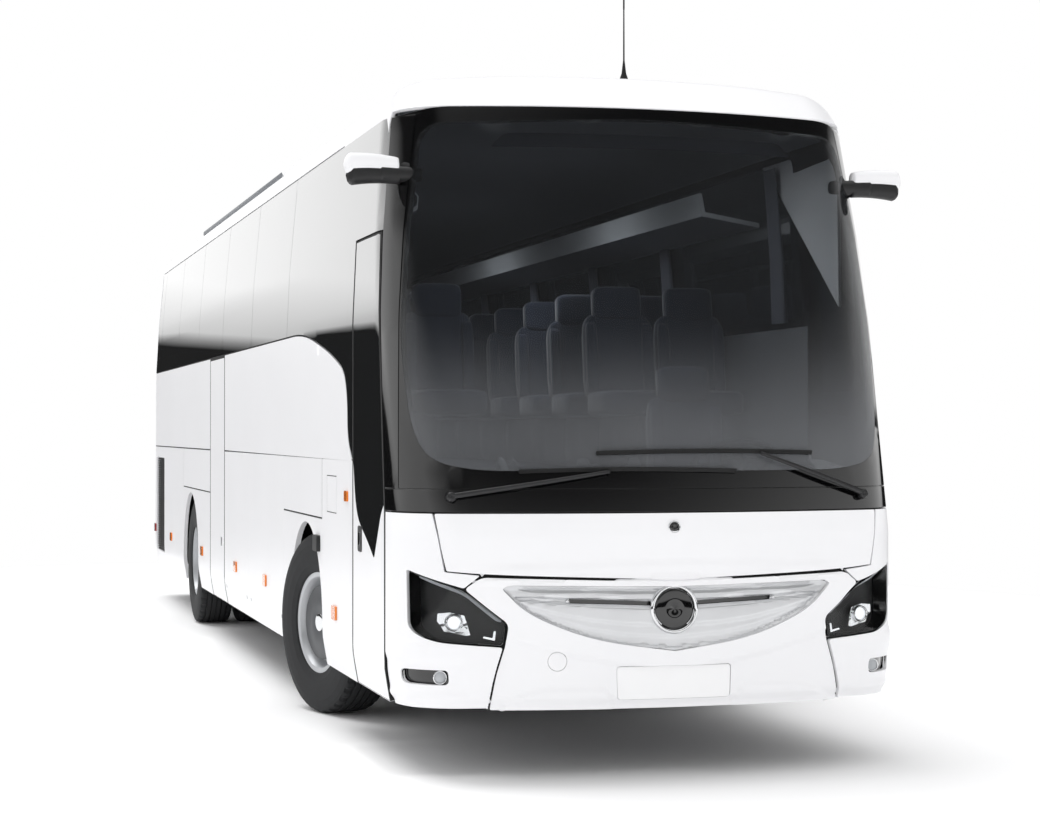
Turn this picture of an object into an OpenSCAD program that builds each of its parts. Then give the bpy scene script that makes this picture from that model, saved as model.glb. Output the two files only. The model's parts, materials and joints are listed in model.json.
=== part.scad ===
// Two-axle high-floor touring coach. +X is forward, +Y is the vehicle's left, +Z is up.
// The origin is on the ground at mid-length and mid-width. Sizes are in millimetres.

/* [Body] */
// Length from the rear panel to the front bumper
bus_len = 12295; // [11800:5:15000]
// Width over the side walls
bus_w = 2550; // [2450:5:3100]
// Height of the roof above the ground
roof_z = 3400; // [3300:5:4100]
// Height of the skirt's lower edge above the ground
skirt_z = 327; // [270:1:400]
// Height of the hinge line above the luggage flaps
waist_z = 1480; // [1430:5:1600]
// Height of the lower edge of the side glass
sill_z = 2200; // [2000:5:2400]
// Height of the seam between the side glass and the roof, below the roof
roof_edge_h = 222; // [180:1:300]
// Thickness of the walls, doors and flaps
wall = 45; // [35:1:55]
// Thickness of the bonded glass
glass = 9.5; // [5:0.5:9.5]

/* [Front] */
// Radius of the front's bow, seen from above
bow_r = 3600; // [3200:10:4600]
// Width of each rounded front corner, beside the bow
corner_w = 275; // [200:5:330]
// Height of the windscreen's lower edge
screen_z = 1250; // [1150:5:1400]
// Height of the windscreen's upper edge
header_z = 3213; // [3100:1:3300]
// Lean of the windscreen from upright, in degrees
screen_rake = 12.7; // [5:0.1:14]
// Lean of the header above the windscreen, in degrees
header_rake = 51; // [40:1:60]
// Distance from the front to the seam behind the front corners
nose_len = 520; // [500:5:560]

/* [Axles and wheels] */
// Distance between the two axles
wheelbase = 6090; // [5900:5:7500]
// Distance from the front axle to the front bumper
front_overhang = 2865; // [2700:5:3200]
// Radius of the tyres
wheel_r = 522; // [480:1:540]
// Width of one tyre
tyre_w = 295; // [270:1:315]
// Radius of the rims where the tyres seat
rim_r = 286; // [250:1:300]
// Steering angle of the front wheels as stored, to the left, in degrees
steer = 15; // [0:1:25]
// Half width of the wheel arches
arch_half = 570; // [550:5:600]
// Height of the top of the wheel arches
arch_z = 1105; // [1090:5:1200]

/* [Doors and flaps] */
// Width of the front passenger door
front_door_w = 855; // [700:5:900]
// Width of the middle passenger door
mid_door_w = 915; // [700:5:930]
// Height of the top of the front passenger door
front_door_z = 2606; // [2400:1:2700]
// Length of the arms that carry the passenger doors
door_arm = 540; // [480:5:560]
// Gap around doors and flaps
door_gap = 6; // [5:0.5:8]
// Pitch of the side windows
window_pitch = 1610; // [1300:5:1900]

/* [Cabin] */
// Height of the saloon floor
floor_z = 1400; // [1390:5:1450]
// Distance between rows of passenger seats
seat_pitch = 780; // [720:5:1000]
// Height of a passenger seat
seat_h = 1120; // [950:5:1200]
// Radius of the steering wheel
steering_r = 225; // [200:5:240]

/* [Hidden] */

hw = bus_w / 2;
front_x = bus_len / 2;
rear_x = -bus_len / 2;
axle_f = front_x - front_overhang;
axle_r = axle_f - wheelbase;
seam = 0.6;        // seam between fixed panels
touch = 0.3;       // seating gap between separate pieces
far = 3 * bus_len;

// Front corner arcs that are tangent to the bow and to the side walls
bow_half = hw - corner_w;
bow_a = asin(bow_half / bow_r);
corner_r = (hw - bow_half) / (1 - sin(bow_a));
corner_x = -bow_r + (bow_r - corner_r) * cos(bow_a);
corner_y = (bow_r - corner_r) * sin(bow_a);
screen_back = 25;  // set-back of the front at the windscreen's lower edge
header_back = screen_back + (header_z - screen_z) * tan(screen_rake);
crest_x = front_x - header_back - (roof_z - header_z) * tan(header_rake); // where the header meets the roof
pillar_rake = 9.2; // lean of the seam behind the windscreen pillars
nose_x = front_x - nose_len;
roof_seam_z = roof_z - roof_edge_h;
rear_corner = 150; // radius of the rear corners
rear_seam_x = rear_x + 175;
rear_low_z = 430;  // height of the rear's lower edge

// Edges of the doors and flaps along the side
front_door_x1 = nose_x - 5;
front_door_x0 = front_door_x1 - front_door_w;
front_flap_x = axle_f - 853;
mid_flap_x = front_flap_x - 1593;
mid_door_x1 = mid_flap_x - 1339;
mid_door_x0 = mid_door_x1 - mid_door_w;
flap_split = [[mid_flap_x, front_flap_x], [mid_door_x1, mid_flap_x], [mid_door_x0, mid_door_x1]];
louvre_x0 = rear_x + 300;
louvre_x1 = louvre_x0 + 740;

// Hinge lines of the flaps
barrel_r = 5;
hinge_pin_r = 2.2;
hinge_gap = 8;     // from the hinge line to the panels above and below it
hinge_in = 2;      // from the outer skin in to the hinge line

// Running gear
wheel_z = wheel_r;
wheel_y = hw - 25 - tyre_w / 2;
king_off = 150;    // from a kingpin out to the wheel's middle
king_y = wheel_y - king_off;
twin_y = wheel_y - 345;
hub_r = 140;
rail_y0 = 380;
rail_y1 = 460;
rail_z0 = 700;
rail_z1 = 860;
housing_half = 622;
housing_y = 545;
housing_z = 1180;
bay_z = 430;
bay_x0 = axle_r + 755;
bay_x1 = axle_f - 800;
inner_y = hw - wall;

// Cabin
floor_t = 60;
front_floor_z = 900;
front_floor_x = front_door_x0 - 560;
window_x1 = axle_f - 180;
window_x0 = rear_x + 310;
seat_x1 = front_floor_x - 250;
seat_x0 = rear_x + 700;

// Points of an arc of n steps; skip leaves out the first point
function arc(x, y, r, a0, a1, n, skip = 0) =
    [for (i = [skip:n]) let (a = a0 + (a1 - a0) * i / n) [x + r * cos(a), y + r * sin(a)]];
function shift(points, x, y) = [for (p = points) [p[0] + x, p[1] + y]];
function flip(points) = [for (i = [len(points) - 1:-1:0]) [-points[i][0], points[i][1]]];

// The front seen from above, its apex at x = 0, set in by t
function nose(t) = concat(
    arc(corner_x, -corner_y, corner_r - t, -90, -bow_a, 5),
    arc(-bow_r, 0, bow_r - t, -bow_a, bow_a, 8, 1),
    arc(corner_x, corner_y, corner_r - t, bow_a, 90, 5, 1));

// Half of the cross-section: y, z and the outward direction at each point
half_section = [
    [hw - 30, skirt_z, 1, 0], [hw, skirt_z + 170, 1, 0], [hw, sill_z, 1, 0],
    [hw - 18, sill_z + 0.41 * (roof_seam_z - sill_z), 1, 0.05], [hw - 70, roof_seam_z, 1, 0.2],
    [hw - 110, roof_z - 110, 0.85, 0.55], [hw - 170, roof_z - 55, 0.6, 0.8],
    [hw - 270, roof_z - 25, 0.25, 0.97], [hw - 600, roof_z - 7, 0.03, 1], [0, roof_z, 0, 1]];
function section(t) = let (
    right = [for (i = [0:len(half_section) - 2]) let (p = half_section[i])
        [p[0] - t * p[2], t > 1 && i == 0 ? -far : p[1] - t * p[3]]])
    concat(right, [[0, roof_z - t]], flip(right));

// The rear half of the side view; an inner outline is open below
function side_view(t) = let (low = t > 1) [
    [far, -far], [far, far], [rear_x + 1200, far], [rear_x + 1200, roof_z - t + 1],
    [rear_x + 170 + t, roof_z - 75 - t], [rear_x + 100 + t, roof_seam_z],
    [rear_x + 25 + t, 1500], [rear_x + t, 900], [rear_x + t, 560],
    low ? [rear_x + t, -far] : [rear_x + 60, rear_low_z],
    low ? [rear_x + 1500, -far] : [rear_x + 1450, skirt_z + 13],
    low ? [rear_x + 2500, -far] : [rear_x + 2530, skirt_z - 5], [rear_x + 2600, -far]];

// The whole body as one convex block, set in by t
module coach(t) {
    intersection() {
        rotate([90, 0, 90]) linear_extrude(far, center = true) polygon(section(t));
        rotate([90, 0, 0]) linear_extrude(far, center = true) polygon(side_view(t));
        linear_extrude(far, center = true) polygon(concat(shift(nose(t), front_x, 0),
            arc(rear_x + rear_corner, hw - rear_corner, rear_corner - t, 90, 180, 4),
            arc(rear_x + rear_corner, rear_corner - hw, rear_corner - t, 180, 270, 4)));
        leaning(screen_back, screen_z, screen_rake, t);
        leaning(header_back, header_z, header_rake, t);
    }
}

// The nose outline leaned back about a level line at height z
module leaning(back, z, rake, t) {
    translate([front_x - back, 0, z]) rotate([0, -rake, 0])
        linear_extrude(far, center = true)
            polygon(concat(nose(t), [[-far, hw - t], [-far, t - hw]]));
}

// A skin between depths t0 and t1, kept where the children are
module skin(t0, t1) {
    intersection() {
        difference() { coach(t0); coach(t1); }
        children();
    }
}

// Side view outlines carried through the right (s = -1) or left (s = 1) half of the body
module side_cut(s, points) {
    translate([0, s > 0 ? 2 * hw : 0, 0]) rotate([90, 0, 0])
        linear_extrude(2 * hw) polygon(points);
}
module side_box(s, x0, x1, z0, z1) { side_cut(s, [[x0, z0], [x1, z0], [x1, z1], [x0, z1]]); }

// Front view outlines carried through the nose
module front_cut(points) {
    translate([front_x - 1500, 0, 0]) rotate([90, 0, 90]) linear_extrude(3000) polygon(points);
}
module front_box(y0, y1, z0, z1) { front_cut([[y0, z0], [y1, z0], [y1, z1], [y0, z1]]); }
module both_sides() { children(); mirror([0, 1, 0]) children(); }

// Everything in front of the seam behind the front corners, moved forward by d
module nose_zone(d) {
    x_top = nose_x + d - (roof_seam_z - screen_z) * tan(pillar_rake);
    rotate([90, 0, 0]) linear_extrude(far, center = true)
        polygon([[far, -far], [far, far], [x_top, far], [x_top, roof_seam_z],
            [nose_x + d, screen_z], [nose_x + d, -far]]);
}

// Doorway and door outlines, g smaller all round
function front_door_outline(g) = [[front_door_x0 + g, -far], [front_door_x1 - g, -far],
    [front_door_x1 - g, screen_z],
    [front_door_x1 - g - (front_door_z - screen_z) * tan(pillar_rake), front_door_z - g],
    [front_door_x0 + g, front_door_z - g]];
function mid_door_outline(g) = [[mid_door_x0 + g, -far], [mid_door_x1 - g, -far],
    [mid_door_x1 - g, sill_z - g], [mid_door_x0 + g, sill_z - g]];

// ---- Side walls ----

// Dark area below the sill behind the front pillar, d larger all round
function low_glass(d) = [[window_x1 - d, sill_z + 1], [window_x1 - d, sill_z - d],
    [window_x1 + 986, sill_z - 142 - d], [window_x1 + 1400, sill_z - 250 - d],
    [window_x1 + 1510, sill_z - 350 - d], [window_x1 + 1520, sill_z - 570 - d],
    [front_door_x0 - 12, waist_z + 20 - d]];

module glass_band(s, d) {
    side_box(s, window_x0 - d, far, sill_z - d, roof_seam_z + d);
    side_cut(s, concat(low_glass(d), s < 0
        ? [[front_door_x0 - 12, sill_z + 1]]
        : [[nose_x - 40, screen_z + 170 - d], [nose_x - 140, sill_z + 1]]));
}

// Seams between the panes; the first pane ends at the front pillar
pane_count = floor((window_x1 - 560 - window_x0) / window_pitch);
pane_x = concat([for (i = [0:pane_count]) window_x1 - 560 - i * window_pitch], [window_x0]);
first_pane_x1 = front_door_x0 - 60;

module window_holes(s) {
    frame_w = 60;
    for (i = [0:len(pane_x) - 2]) if (pane_x[i] - pane_x[i + 1] > 3 * frame_w)
        side_box(s, pane_x[i + 1] + frame_w, pane_x[i] - frame_w, sill_z + 50, roof_seam_z - 60);
    side_box(s, pane_x[0] + frame_w, first_pane_x1 - frame_w, sill_z + 50, roof_seam_z - 60);
    if (s > 0) side_cut(s, [[first_pane_x1 + 60, sill_z - 500], [nose_x - 260, sill_z - 500],
        [nose_x - 400, front_door_z], [first_pane_x1 + 60, front_door_z]]);
}

module arch(x, d) {
    translate([x, 0, 0]) rotate([90, 0, 0]) linear_extrude(far, center = true)
        polygon(concat([[arch_half + d, -far]],
            arc(0, arch_z - arch_half, arch_half + d, 0, 180, 14), [[-arch_half - d, -far]]));
}

module side_wall(s) {
    difference() {
        skin(0, wall) {
            difference() {
                side_box(s, rear_seam_x + seam, far, -far, roof_seam_z - seam);
                nose_zone(-seam);
            }
        }
        skin(-20, glass + 0.5) glass_band(s, 0);
        window_holes(s);
        arch(axle_f, 0);
        arch(axle_r, 0);
        for (f = flap_split) if (s > 0 || f[1] > mid_door_x1)
            side_box(s, f[0], f[1], -far, waist_z + hinge_gap);
        if (s < 0) {
            side_cut(s, front_door_outline(0));
            side_cut(s, mid_door_outline(0));
        }
        for (i = [0:7]) translate([0, s * (hw + 25), 560 + i * 105]) rotate([s * 35, 0, 0])
            translate([louvre_x0 + 50, -80, -14]) cube([louvre_x1 - louvre_x0 - 100, 160, 28]);
    }
    for (f = flap_split) if (s > 0 || f[1] > mid_door_x1) flap_hinge(s, f[0], f[1], true);
    if (s < 0) wall_bearing(mid_pivot_x, mid_bearing_z, mid_door_x0 - 4, -1);
}
module side_wall_right() { color("white") side_wall(-1); }
module side_wall_left() { color("white") side_wall(1); }

// ---- Flap hinges: knuckles take turns along a common pin ----
knuckle_len = 60;
module flap_hinge(s, x0, x1, fixed) {
    y = s * (hw - hinge_in);
    span = (x1 - x0 - 3 * knuckle_len - 2 * door_gap - 8) / 2;
    fixed_x = [x0 + door_gap, x0 + door_gap + knuckle_len + 2 + span + 2,
        x0 + door_gap + 2 * knuckle_len + 2 * span + 8];
    translate([0, y, waist_z]) {
        if (fixed) {
            translate([fixed_x[0], 0, 0]) rotate([0, 90, 0])
                cylinder(r = hinge_pin_r, h = x1 - x0 - 2 * door_gap, $fn = 24);
            for (x = fixed_x) knuckle(x, knuckle_len, s, 1, 0);
        } else for (i = [0, 1])
            knuckle(fixed_x[i] + knuckle_len + 2, span, s, -1, hinge_pin_r + touch);
    }
}
module knuckle(x, length, s, up, bore) {
    difference() {
        union() {
            translate([x, 0, 0]) rotate([0, 90, 0]) cylinder(r = barrel_r, h = length, $fn = 24);
            translate([x, s > 0 ? -4 : 0, up > 0 ? 0 : -hinge_gap - 4])
                cube([length, 4, hinge_gap + 4]);
        }
        if (bore > 0) translate([x - 1, 0, 0]) rotate([0, 90, 0])
            cylinder(r = bore, h = length + 2, $fn = 24);
    }
}

module luggage_flap(s, i) {
    f = flap_split[i];
    color("white") {
        skin(0, wall) side_box(s, f[0] + door_gap, f[1] - door_gap, -far, waist_z - hinge_gap);
        flap_hinge(s, f[0], f[1], false);
    }
}
module luggage_flap_right_front() { luggage_flap(-1, 0); }
module luggage_flap_right_rear() { luggage_flap(-1, 1); }
module luggage_flap_left_front() { luggage_flap(1, 0); }
module luggage_flap_left_mid() { luggage_flap(1, 1); }
module luggage_flap_left_rear() { luggage_flap(1, 2); }

// ---- Passenger doors: a post on the body carries two arms, which carry the leaf ----
post_r = 20;
post_y = -(hw - wall - 62);
leaf_pin_r = 12;
arm_t = 34;
front_pivot_x = front_door_x1 - 143;
mid_pivot_x = mid_door_x0 + 62;
arm_z = [560, 1750];
low_bearing_z = 340;
bearing_t = 30;
front_bearing_z = 1560;
mid_bearing_z = 1900;

// Bracket on the body that holds a door's post, reaching in from the doorway's edge at x_edge
module wall_bearing(x, z, x_edge, dir) {
    x_root = x_edge + dir * 45;
    difference() {
        union() {
            translate([x, post_y, z]) cylinder(r = 40, h = bearing_t, $fn = 48);
            plate(min(x, x_root), max(x, x_root), post_y - 20, post_y + 20, z, z + bearing_t);
            plate(min(x_edge, x_root), max(x_edge, x_root), -inner_y - 10, post_y + 20,
                z, z + bearing_t);
        }
        translate([x, post_y, z - 1]) cylinder(r = post_r + touch, h = bearing_t + 2, $fn = 48);
    }
}
// Bearing on the lowest step, under the post
module step_bearing(x) {
    difference() {
        plate(x - 38, x + 38, post_y - 35, 101 - inner_y, low_bearing_z, low_bearing_z + bearing_t);
        translate([x, post_y, low_bearing_z - 1])
            cylinder(r = post_r + touch, h = bearing_t + 2, $fn = 48);
    }
}
module door_arms(x, top_z, dir) {
    translate([x, post_y, low_bearing_z]) cylinder(r = post_r, h = top_z - low_bearing_z, $fn = 48);
    for (z = arm_z) difference() {
        union() {
            translate([dir > 0 ? x - door_arm : x, post_y - arm_t / 2, z - 20])
                cube([door_arm, arm_t, 40]);
            translate([x - dir * door_arm, post_y, z - 20]) cylinder(r = 26, h = 40, $fn = 48);
            translate([x, post_y, z - 20]) cylinder(r = 30, h = 40, $fn = 48);
        }
        translate([x - dir * door_arm, post_y, z - 25])
            cylinder(r = leaf_pin_r + touch, h = 50, $fn = 48);
    }
}
// Ears and pins on the leaf that the arms turn on
module leaf_ears(x, dir) {
    ear_x = x - dir * door_arm;
    for (z = arm_z) {
        translate([ear_x, post_y, z - 40]) cylinder(r = leaf_pin_r, h = 80, $fn = 48);
        for (up = [-1, 1]) translate([ear_x - 25, -inner_y - 2, z + (up > 0 ? 26 : -40)])
            cube([50, inner_y + post_y + 27, 14]);
    }
}

// Lower edge of the front door's glass: a slanting spike
door_spike = [[front_door_x0 + 30, waist_z - 90], [front_door_x1 - 275, waist_z - 462],
    [front_door_x1 - 40, waist_z - 238]];
function door_glass_outline(g) = let (top_x = front_door_x1 - 45
        - (front_door_z - screen_z) * tan(pillar_rake))
    [[door_spike[0][0] + g, door_spike[0][1] + g], [door_spike[1][0], door_spike[1][1] + 1.5 * g],
     [door_spike[2][0] - g, door_spike[2][1] + g], [front_door_x1 - 45 - g, screen_z],
     [top_x - g, front_door_z - 60 - g], [door_spike[0][0] + g, front_door_z - 60 - g]];

module front_door() {
    color("white") {
        difference() {
            skin(0, wall) side_cut(-1, front_door_outline(door_gap));
            skin(-20, glass + 0.5) side_cut(-1, door_glass_outline(0));
            side_cut(-1, [[front_door_x0 + 110, 1480], [front_door_x1 - 190, 1480],
                [front_door_x1 - 340, front_door_z - 140], [front_door_x0 + 110, front_door_z - 140]]);
        }
        leaf_ears(front_pivot_x, 1);
    }
}
module front_door_glass() {
    color([0.05, 0.06, 0.07]) skin(0, glass) side_cut(-1, door_glass_outline(seam));
}
module front_door_arm() { color("dimgray") door_arms(front_pivot_x, arm_z[1] + 20, 1); }
module mid_door() {
    color("white") {
        skin(0, wall) side_cut(-1, mid_door_outline(door_gap));
        leaf_ears(mid_pivot_x, -1);
    }
}
module mid_door_arm() { color("dimgray") door_arms(mid_pivot_x, mid_bearing_z + bearing_t, -1); }

// ---- Glass ----
module windows() {
    color([0.05, 0.06, 0.07]) {
        for (s = [-1, 1]) {
            for (i = [0:len(pane_x) - 2]) if (pane_x[i] - pane_x[i + 1] > 200)
                skin(0, glass) side_box(s, pane_x[i + 1] + 2, pane_x[i] - 2, sill_z + seam,
                    roof_seam_z - 2);
            skin(0, glass) intersection() {
                union() {
                    side_box(s, pane_x[0] + 2, s < 0 ? front_door_x0 : far, sill_z + seam, roof_seam_z - 2);
                    side_box(s, front_door_x0 - 1, far, front_door_z + seam, roof_seam_z - 2);
                    side_cut(s, concat(low_glass(-seam), s < 0
                        ? [[front_door_x0 - 12, sill_z + 1]]
                        : [[nose_x - 42, screen_z + 172], [nose_x - 142, sill_z + 1]]));
                }
                if (s < 0) difference() {
                    side_box(s, -far, far, -far, far);
                    side_cut(s, front_door_outline(-4));
                    nose_zone(-3);
                } else difference() {
                    side_box(s, -far, far, -far, far);
                    nose_zone(-3);
                }
            }
        }
        skin(0, glass) rear_window_zone(seam);
    }
}
module rear_window_zone(g) {
    translate([rear_x - 100, -hw + 330 + g, sill_z + g])
        cube([rear_corner + 200, bus_w - 660 - 2 * g, roof_seam_z - sill_z - 130 - 2 * g]);
}

// ---- Roof, header and rear ----
hatch_x = front_floor_x - 1500;
hatch_w = 700;
module roof() {
    curb = 20;
    color("white") {
        difference() {
            skin(0, wall) {
                difference() {
                    translate([rear_seam_x + seam, -far / 2, roof_seam_z]) cube([far, far, far]);
                    nose_zone(-seam);
                }
            }
            translate([hatch_x - hatch_w / 2 + 50, 50 - hatch_w / 2, 0])
                cube([hatch_w - 100, hatch_w - 100, far]);
        }
        difference() {
            translate([hatch_x - hatch_w / 2 + 20, 20 - hatch_w / 2, roof_z - 30])
                cube([hatch_w - 40, hatch_w - 40, 30 + curb]);
            translate([hatch_x - hatch_w / 2 + 50, 50 - hatch_w / 2, 0])
                cube([hatch_w - 100, hatch_w - 100, far]);
        }
        for (y = [-250, 250]) difference() {
            translate([hatch_x + hatch_w / 2 - 21, y - 30, roof_z - 10])
                cube([39, 60, curb + 40]);
            translate([hatch_x + hatch_w / 2 + 8, y - 40, roof_z + curb + 20]) rotate([-90, 0, 0])
                cylinder(r = 5 + touch, h = 80, $fn = 24);
        }
    }
}
module roof_hatch() {
    color("white") {
        difference() {
            translate([hatch_x - hatch_w / 2, -hatch_w / 2, roof_z + 20 + touch])
                cube([hatch_w, hatch_w, 28]);
            for (y = [-250, 250]) translate([hatch_x + hatch_w / 2 - 27, y - 36, roof_z])
                cube([60, 72, 100]);
        }
        for (y = [-250, 250]) translate([hatch_x + hatch_w / 2 + 8, y - 38, roof_z + 40])
            rotate([-90, 0, 0]) cylinder(r = 5, h = 76, $fn = 24);
        for (y = [-290, -214, 210, 286]) translate([hatch_x + hatch_w / 2 - 10, y, roof_z + 34])
            cube([20, 4, 12]);
    }
}
module front_header() {
    color("white") skin(0, wall) intersection() {
        nose_zone(0);
        translate([-far / 2, -far / 2, header_z + seam]) cube([far, far, far]);
    }
}
lid_z0 = 520;
lid_z1 = 1500;
lid_y = hw - 255;
module rear_panel() {
    color("white") {
        difference() {
            skin(0, wall) translate([-far, -far / 2, -far / 2]) cube([far + rear_seam_x, far, far]);
            translate([-far, -lid_y, lid_z0]) cube([far, 2 * lid_y, lid_z1 - lid_z0 + hinge_gap]);
            skin(-20, glass + 0.5) rear_window_zone(0);
            translate([-far, 390 - hw, sill_z + 60])
                cube([far, bus_w - 780, roof_seam_z - sill_z - 250]);
            both_sides() tail_lamp_cut(0);
        }
        rear_hinge(true);
    }
}
module rear_hinge(fixed) {
    translate([rear_x + 25 + hinge_in, 0, lid_z1]) rotate([0, 0, 90])
        translate([0, 0, -waist_z]) translate([0, -(hw - hinge_in), 0])
            flap_hinge(1, -lid_y, lid_y, fixed);
}
module engine_lid() {
    color("white") {
        skin(0, wall) translate([-far, -lid_y + door_gap, lid_z0 + door_gap])
            cube([far + rear_seam_x, 2 * (lid_y - door_gap), lid_z1 - hinge_gap - lid_z0 - door_gap]);
        rear_hinge(false);
    }
}
module tail_lamp_cut(g) {
    translate([rear_x - 200, lid_y + 45 + g, 640 + g]) cube([375 - g, 150 - 2 * g, 640 - 2 * g]);
}
module tail_lamps() {
    color([0.6, 0.02, 0.02]) both_sides() skin(0, wall) tail_lamp_cut(seam);
}

// ---- Front ----
function screen_opening(g) = [[0, screen_z + 190 + g], [0.72 * hw, screen_z + 195 + g],
    [0.88 * hw, screen_z + 240 + g], [0.93 * hw - g, screen_z + 400],
    [0.95 * hw - g, screen_z + 800], [0.9 * hw - g, header_z - 90 - g], [0, header_z - 60 - g]];
module full_front(points) { front_cut(concat(points, flip(points))); }

// The bonded windscreen wraps round to a line ahead of the pillars
module screen_zone(g) {
    intersection() {
        nose_zone(145 + g);
        front_box(-far, far, screen_z + 108 + g, header_z - g);
    }
}
module screen_surround() {
    color([0.04, 0.04, 0.045]) difference() {
        skin(0, wall) intersection() {
            nose_zone(0);
            front_box(-far, far, screen_z + seam, header_z);
        }
        skin(-20, glass + 0.5) screen_zone(0);
        full_front(screen_opening(0));
    }
    color([0.04, 0.04, 0.045])
        wall_bearing(front_pivot_x, front_bearing_z, nose_x - 0.16 * (front_bearing_z - screen_z) + 5, 1);
}
module windscreen() { color([0.1, 0.11, 0.12]) skin(0, glass) screen_zone(seam); }

panel_z = 930;     // lower edge of the front panel over the grille
panel_y = 1110;
module front_panel() {
    color("white") skin(0, wall) intersection() {
        nose_zone(0);
        full_front([[0, panel_z + 2 * seam], [0.8 * panel_y, panel_z + 30],
            [panel_y - 45, panel_z + 45], [panel_y, screen_z - seam], [0, screen_z - seam]]);
    }
}
lamp = [[hw - 65, 975], [hw - 70, 700], [hw - 160, 655], [hw - 470, 632], [hw - 485, 735], [hw - 290, 890]];
function grow(points, c, k) = [for (p = points) [c[0] + (p[0] - c[0]) * k, c[1] + (p[1] - c[1]) * k]];
lamp_c = [hw - 250, 790];
fog = [[hw - 225, 450], [hw - 35, 450], [hw - 35, 520], [hw - 225, 520]];
fog_c = [hw - 130, 485];
// Seam between the bumper and the corners, down from the lamp's inner end
bumper_seam = [[hw - 382, -far], [hw - 382, skirt_z + 7], [hw - 473, 632], [hw - 480, 735]];
grille_half = [[0, 904], [780, 915], [815, 900], [700, 780], [400, 655], [0, 600]];
module bumper_corners() {
    color("white") both_sides() difference() {
        skin(0, wall) difference() {
            intersection() {
                nose_zone(0);
                front_cut(concat(shift(bumper_seam, seam, 0), [[0.8 * panel_y, panel_z + 27],
                    [panel_y - 43, panel_z + 42], [panel_y + 2, screen_z - seam],
                    [far, screen_z - seam], [far, -far]]));
            }
        }
        front_cut(lamp);
        front_cut(fog);
    }
}
roundel_z = 797;
roundel_r = 120;
plate_z0 = 376;
plate_z1 = 533;
plate_half = 283;
tow_y = -560;
tow_z = 560;
tow_r = 17;
tow_len = 75;
tow_cover_r = 36;
tow_in = 72;       // from the front in to the socket's mouth
module front_bumper() {
    color("white") {
        difference() {
            skin(0, wall) {
                intersection() {
                    nose_zone(0);
                    full_front(concat([[0, -far]], bumper_seam,
                        [[0.8 * panel_y - 1, panel_z + 26], [0, panel_z]]));
                }
            }
            full_front(grille_half);
            both_sides() front_cut(lamp);
            translate([front_x - 100, 0, roundel_z]) rotate([0, 90, 0])
                cylinder(r = roundel_r + seam, h = 200, $fn = 64);
            translate([front_x - 12, -plate_half, plate_z0])
                cube([100, 2 * plate_half, plate_z1 - plate_z0]);
            translate([front_x - tow_in - tow_len, tow_y, tow_z]) rotate([0, 90, 0])
                cylinder(r = tow_cover_r, h = 600, $fn = 48);
        }
        // Socket for a screw-in towing eye, behind its round cover
        translate([front_x - tow_in - tow_len, tow_y, tow_z]) rotate([0, 90, 0]) difference() {
            cylinder(r = tow_cover_r + 5, h = tow_len, $fn = 48);
            translate([0, 0, -1]) cylinder(r = tow_r, h = tow_len + 2, $fn = 48);
        }
    }
}
module grille() {
    color("silver") {
        skin(6, wall - 5) full_front(grow(grille_half, [0, 760], 0.996));
        translate([front_x - 60, 0, roundel_z]) rotate([0, 90, 0])
            cylinder(r = roundel_r, h = 58, $fn = 64);
    }
}
module front_lamps() {
    color([0.08, 0.08, 0.09]) both_sides() {
        skin(2, wall) intersection() { nose_zone(0); front_cut(grow(lamp, lamp_c, 0.996)); }
        skin(8, wall) intersection() { nose_zone(0); front_cut(grow(fog, fog_c, 0.99)); }
    }
}

// ---- Mirrors and wipers ----
mirror_x = nose_x - 155;
mirror_z = header_z - 393;
mirror_out = 180;
mirror_h = 160;
module mirrors() {
    color("white") both_sides() difference() {
        union() {
            translate([mirror_x, hw, mirror_z]) linear_extrude(mirror_h)
                polygon([[-70, 0], [75, 0], [80, 0.3 * mirror_out], [50, 0.8 * mirror_out], [15, mirror_out],
                    [-35, 0.97 * mirror_out], [-65, 0.6 * mirror_out]]);
            translate([mirror_x - 45, hw - 220, mirror_z + 15]) cube([90, 300, 75]);
        }
        coach(-touch);
    }
}
wiper_y = [-1035, 1026];
wiper_z = screen_z + 66;
module wipers() {
    color([0.03, 0.03, 0.03]) for (i = [0, 1]) wiper(wiper_y[i], i == 0 ? 1 : -1, 120 * i);
}
// Pivot, arm and blade laid against the windscreen; the blade lies nearly level
module wiper(y, dir, lift) {
    intersection() {
        difference() { coach(-60); coach(-touch); }
        translate([front_x - 900, y - 24, wiper_z - 24]) cube([1500, 48, 48]);
    }
    intersection() {
        difference() { coach(-56); coach(-30); }
        front_cut([[y, wiper_z - 14], [y + dir * 620, wiper_z + 95 + lift], [y + dir * 620, wiper_z + 120 + lift],
            [y, wiper_z + 16]]);
    }
    intersection() {
        difference() { coach(-42); coach(-touch); }
        front_cut([[y + dir * 280, wiper_z + 100 + lift], [y + dir * 1180, wiper_z + 112 + lift],
            [y + dir * 1180, wiper_z + 122 + lift], [y + dir * 280, wiper_z + 126 + lift]]);
    }
}

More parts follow.
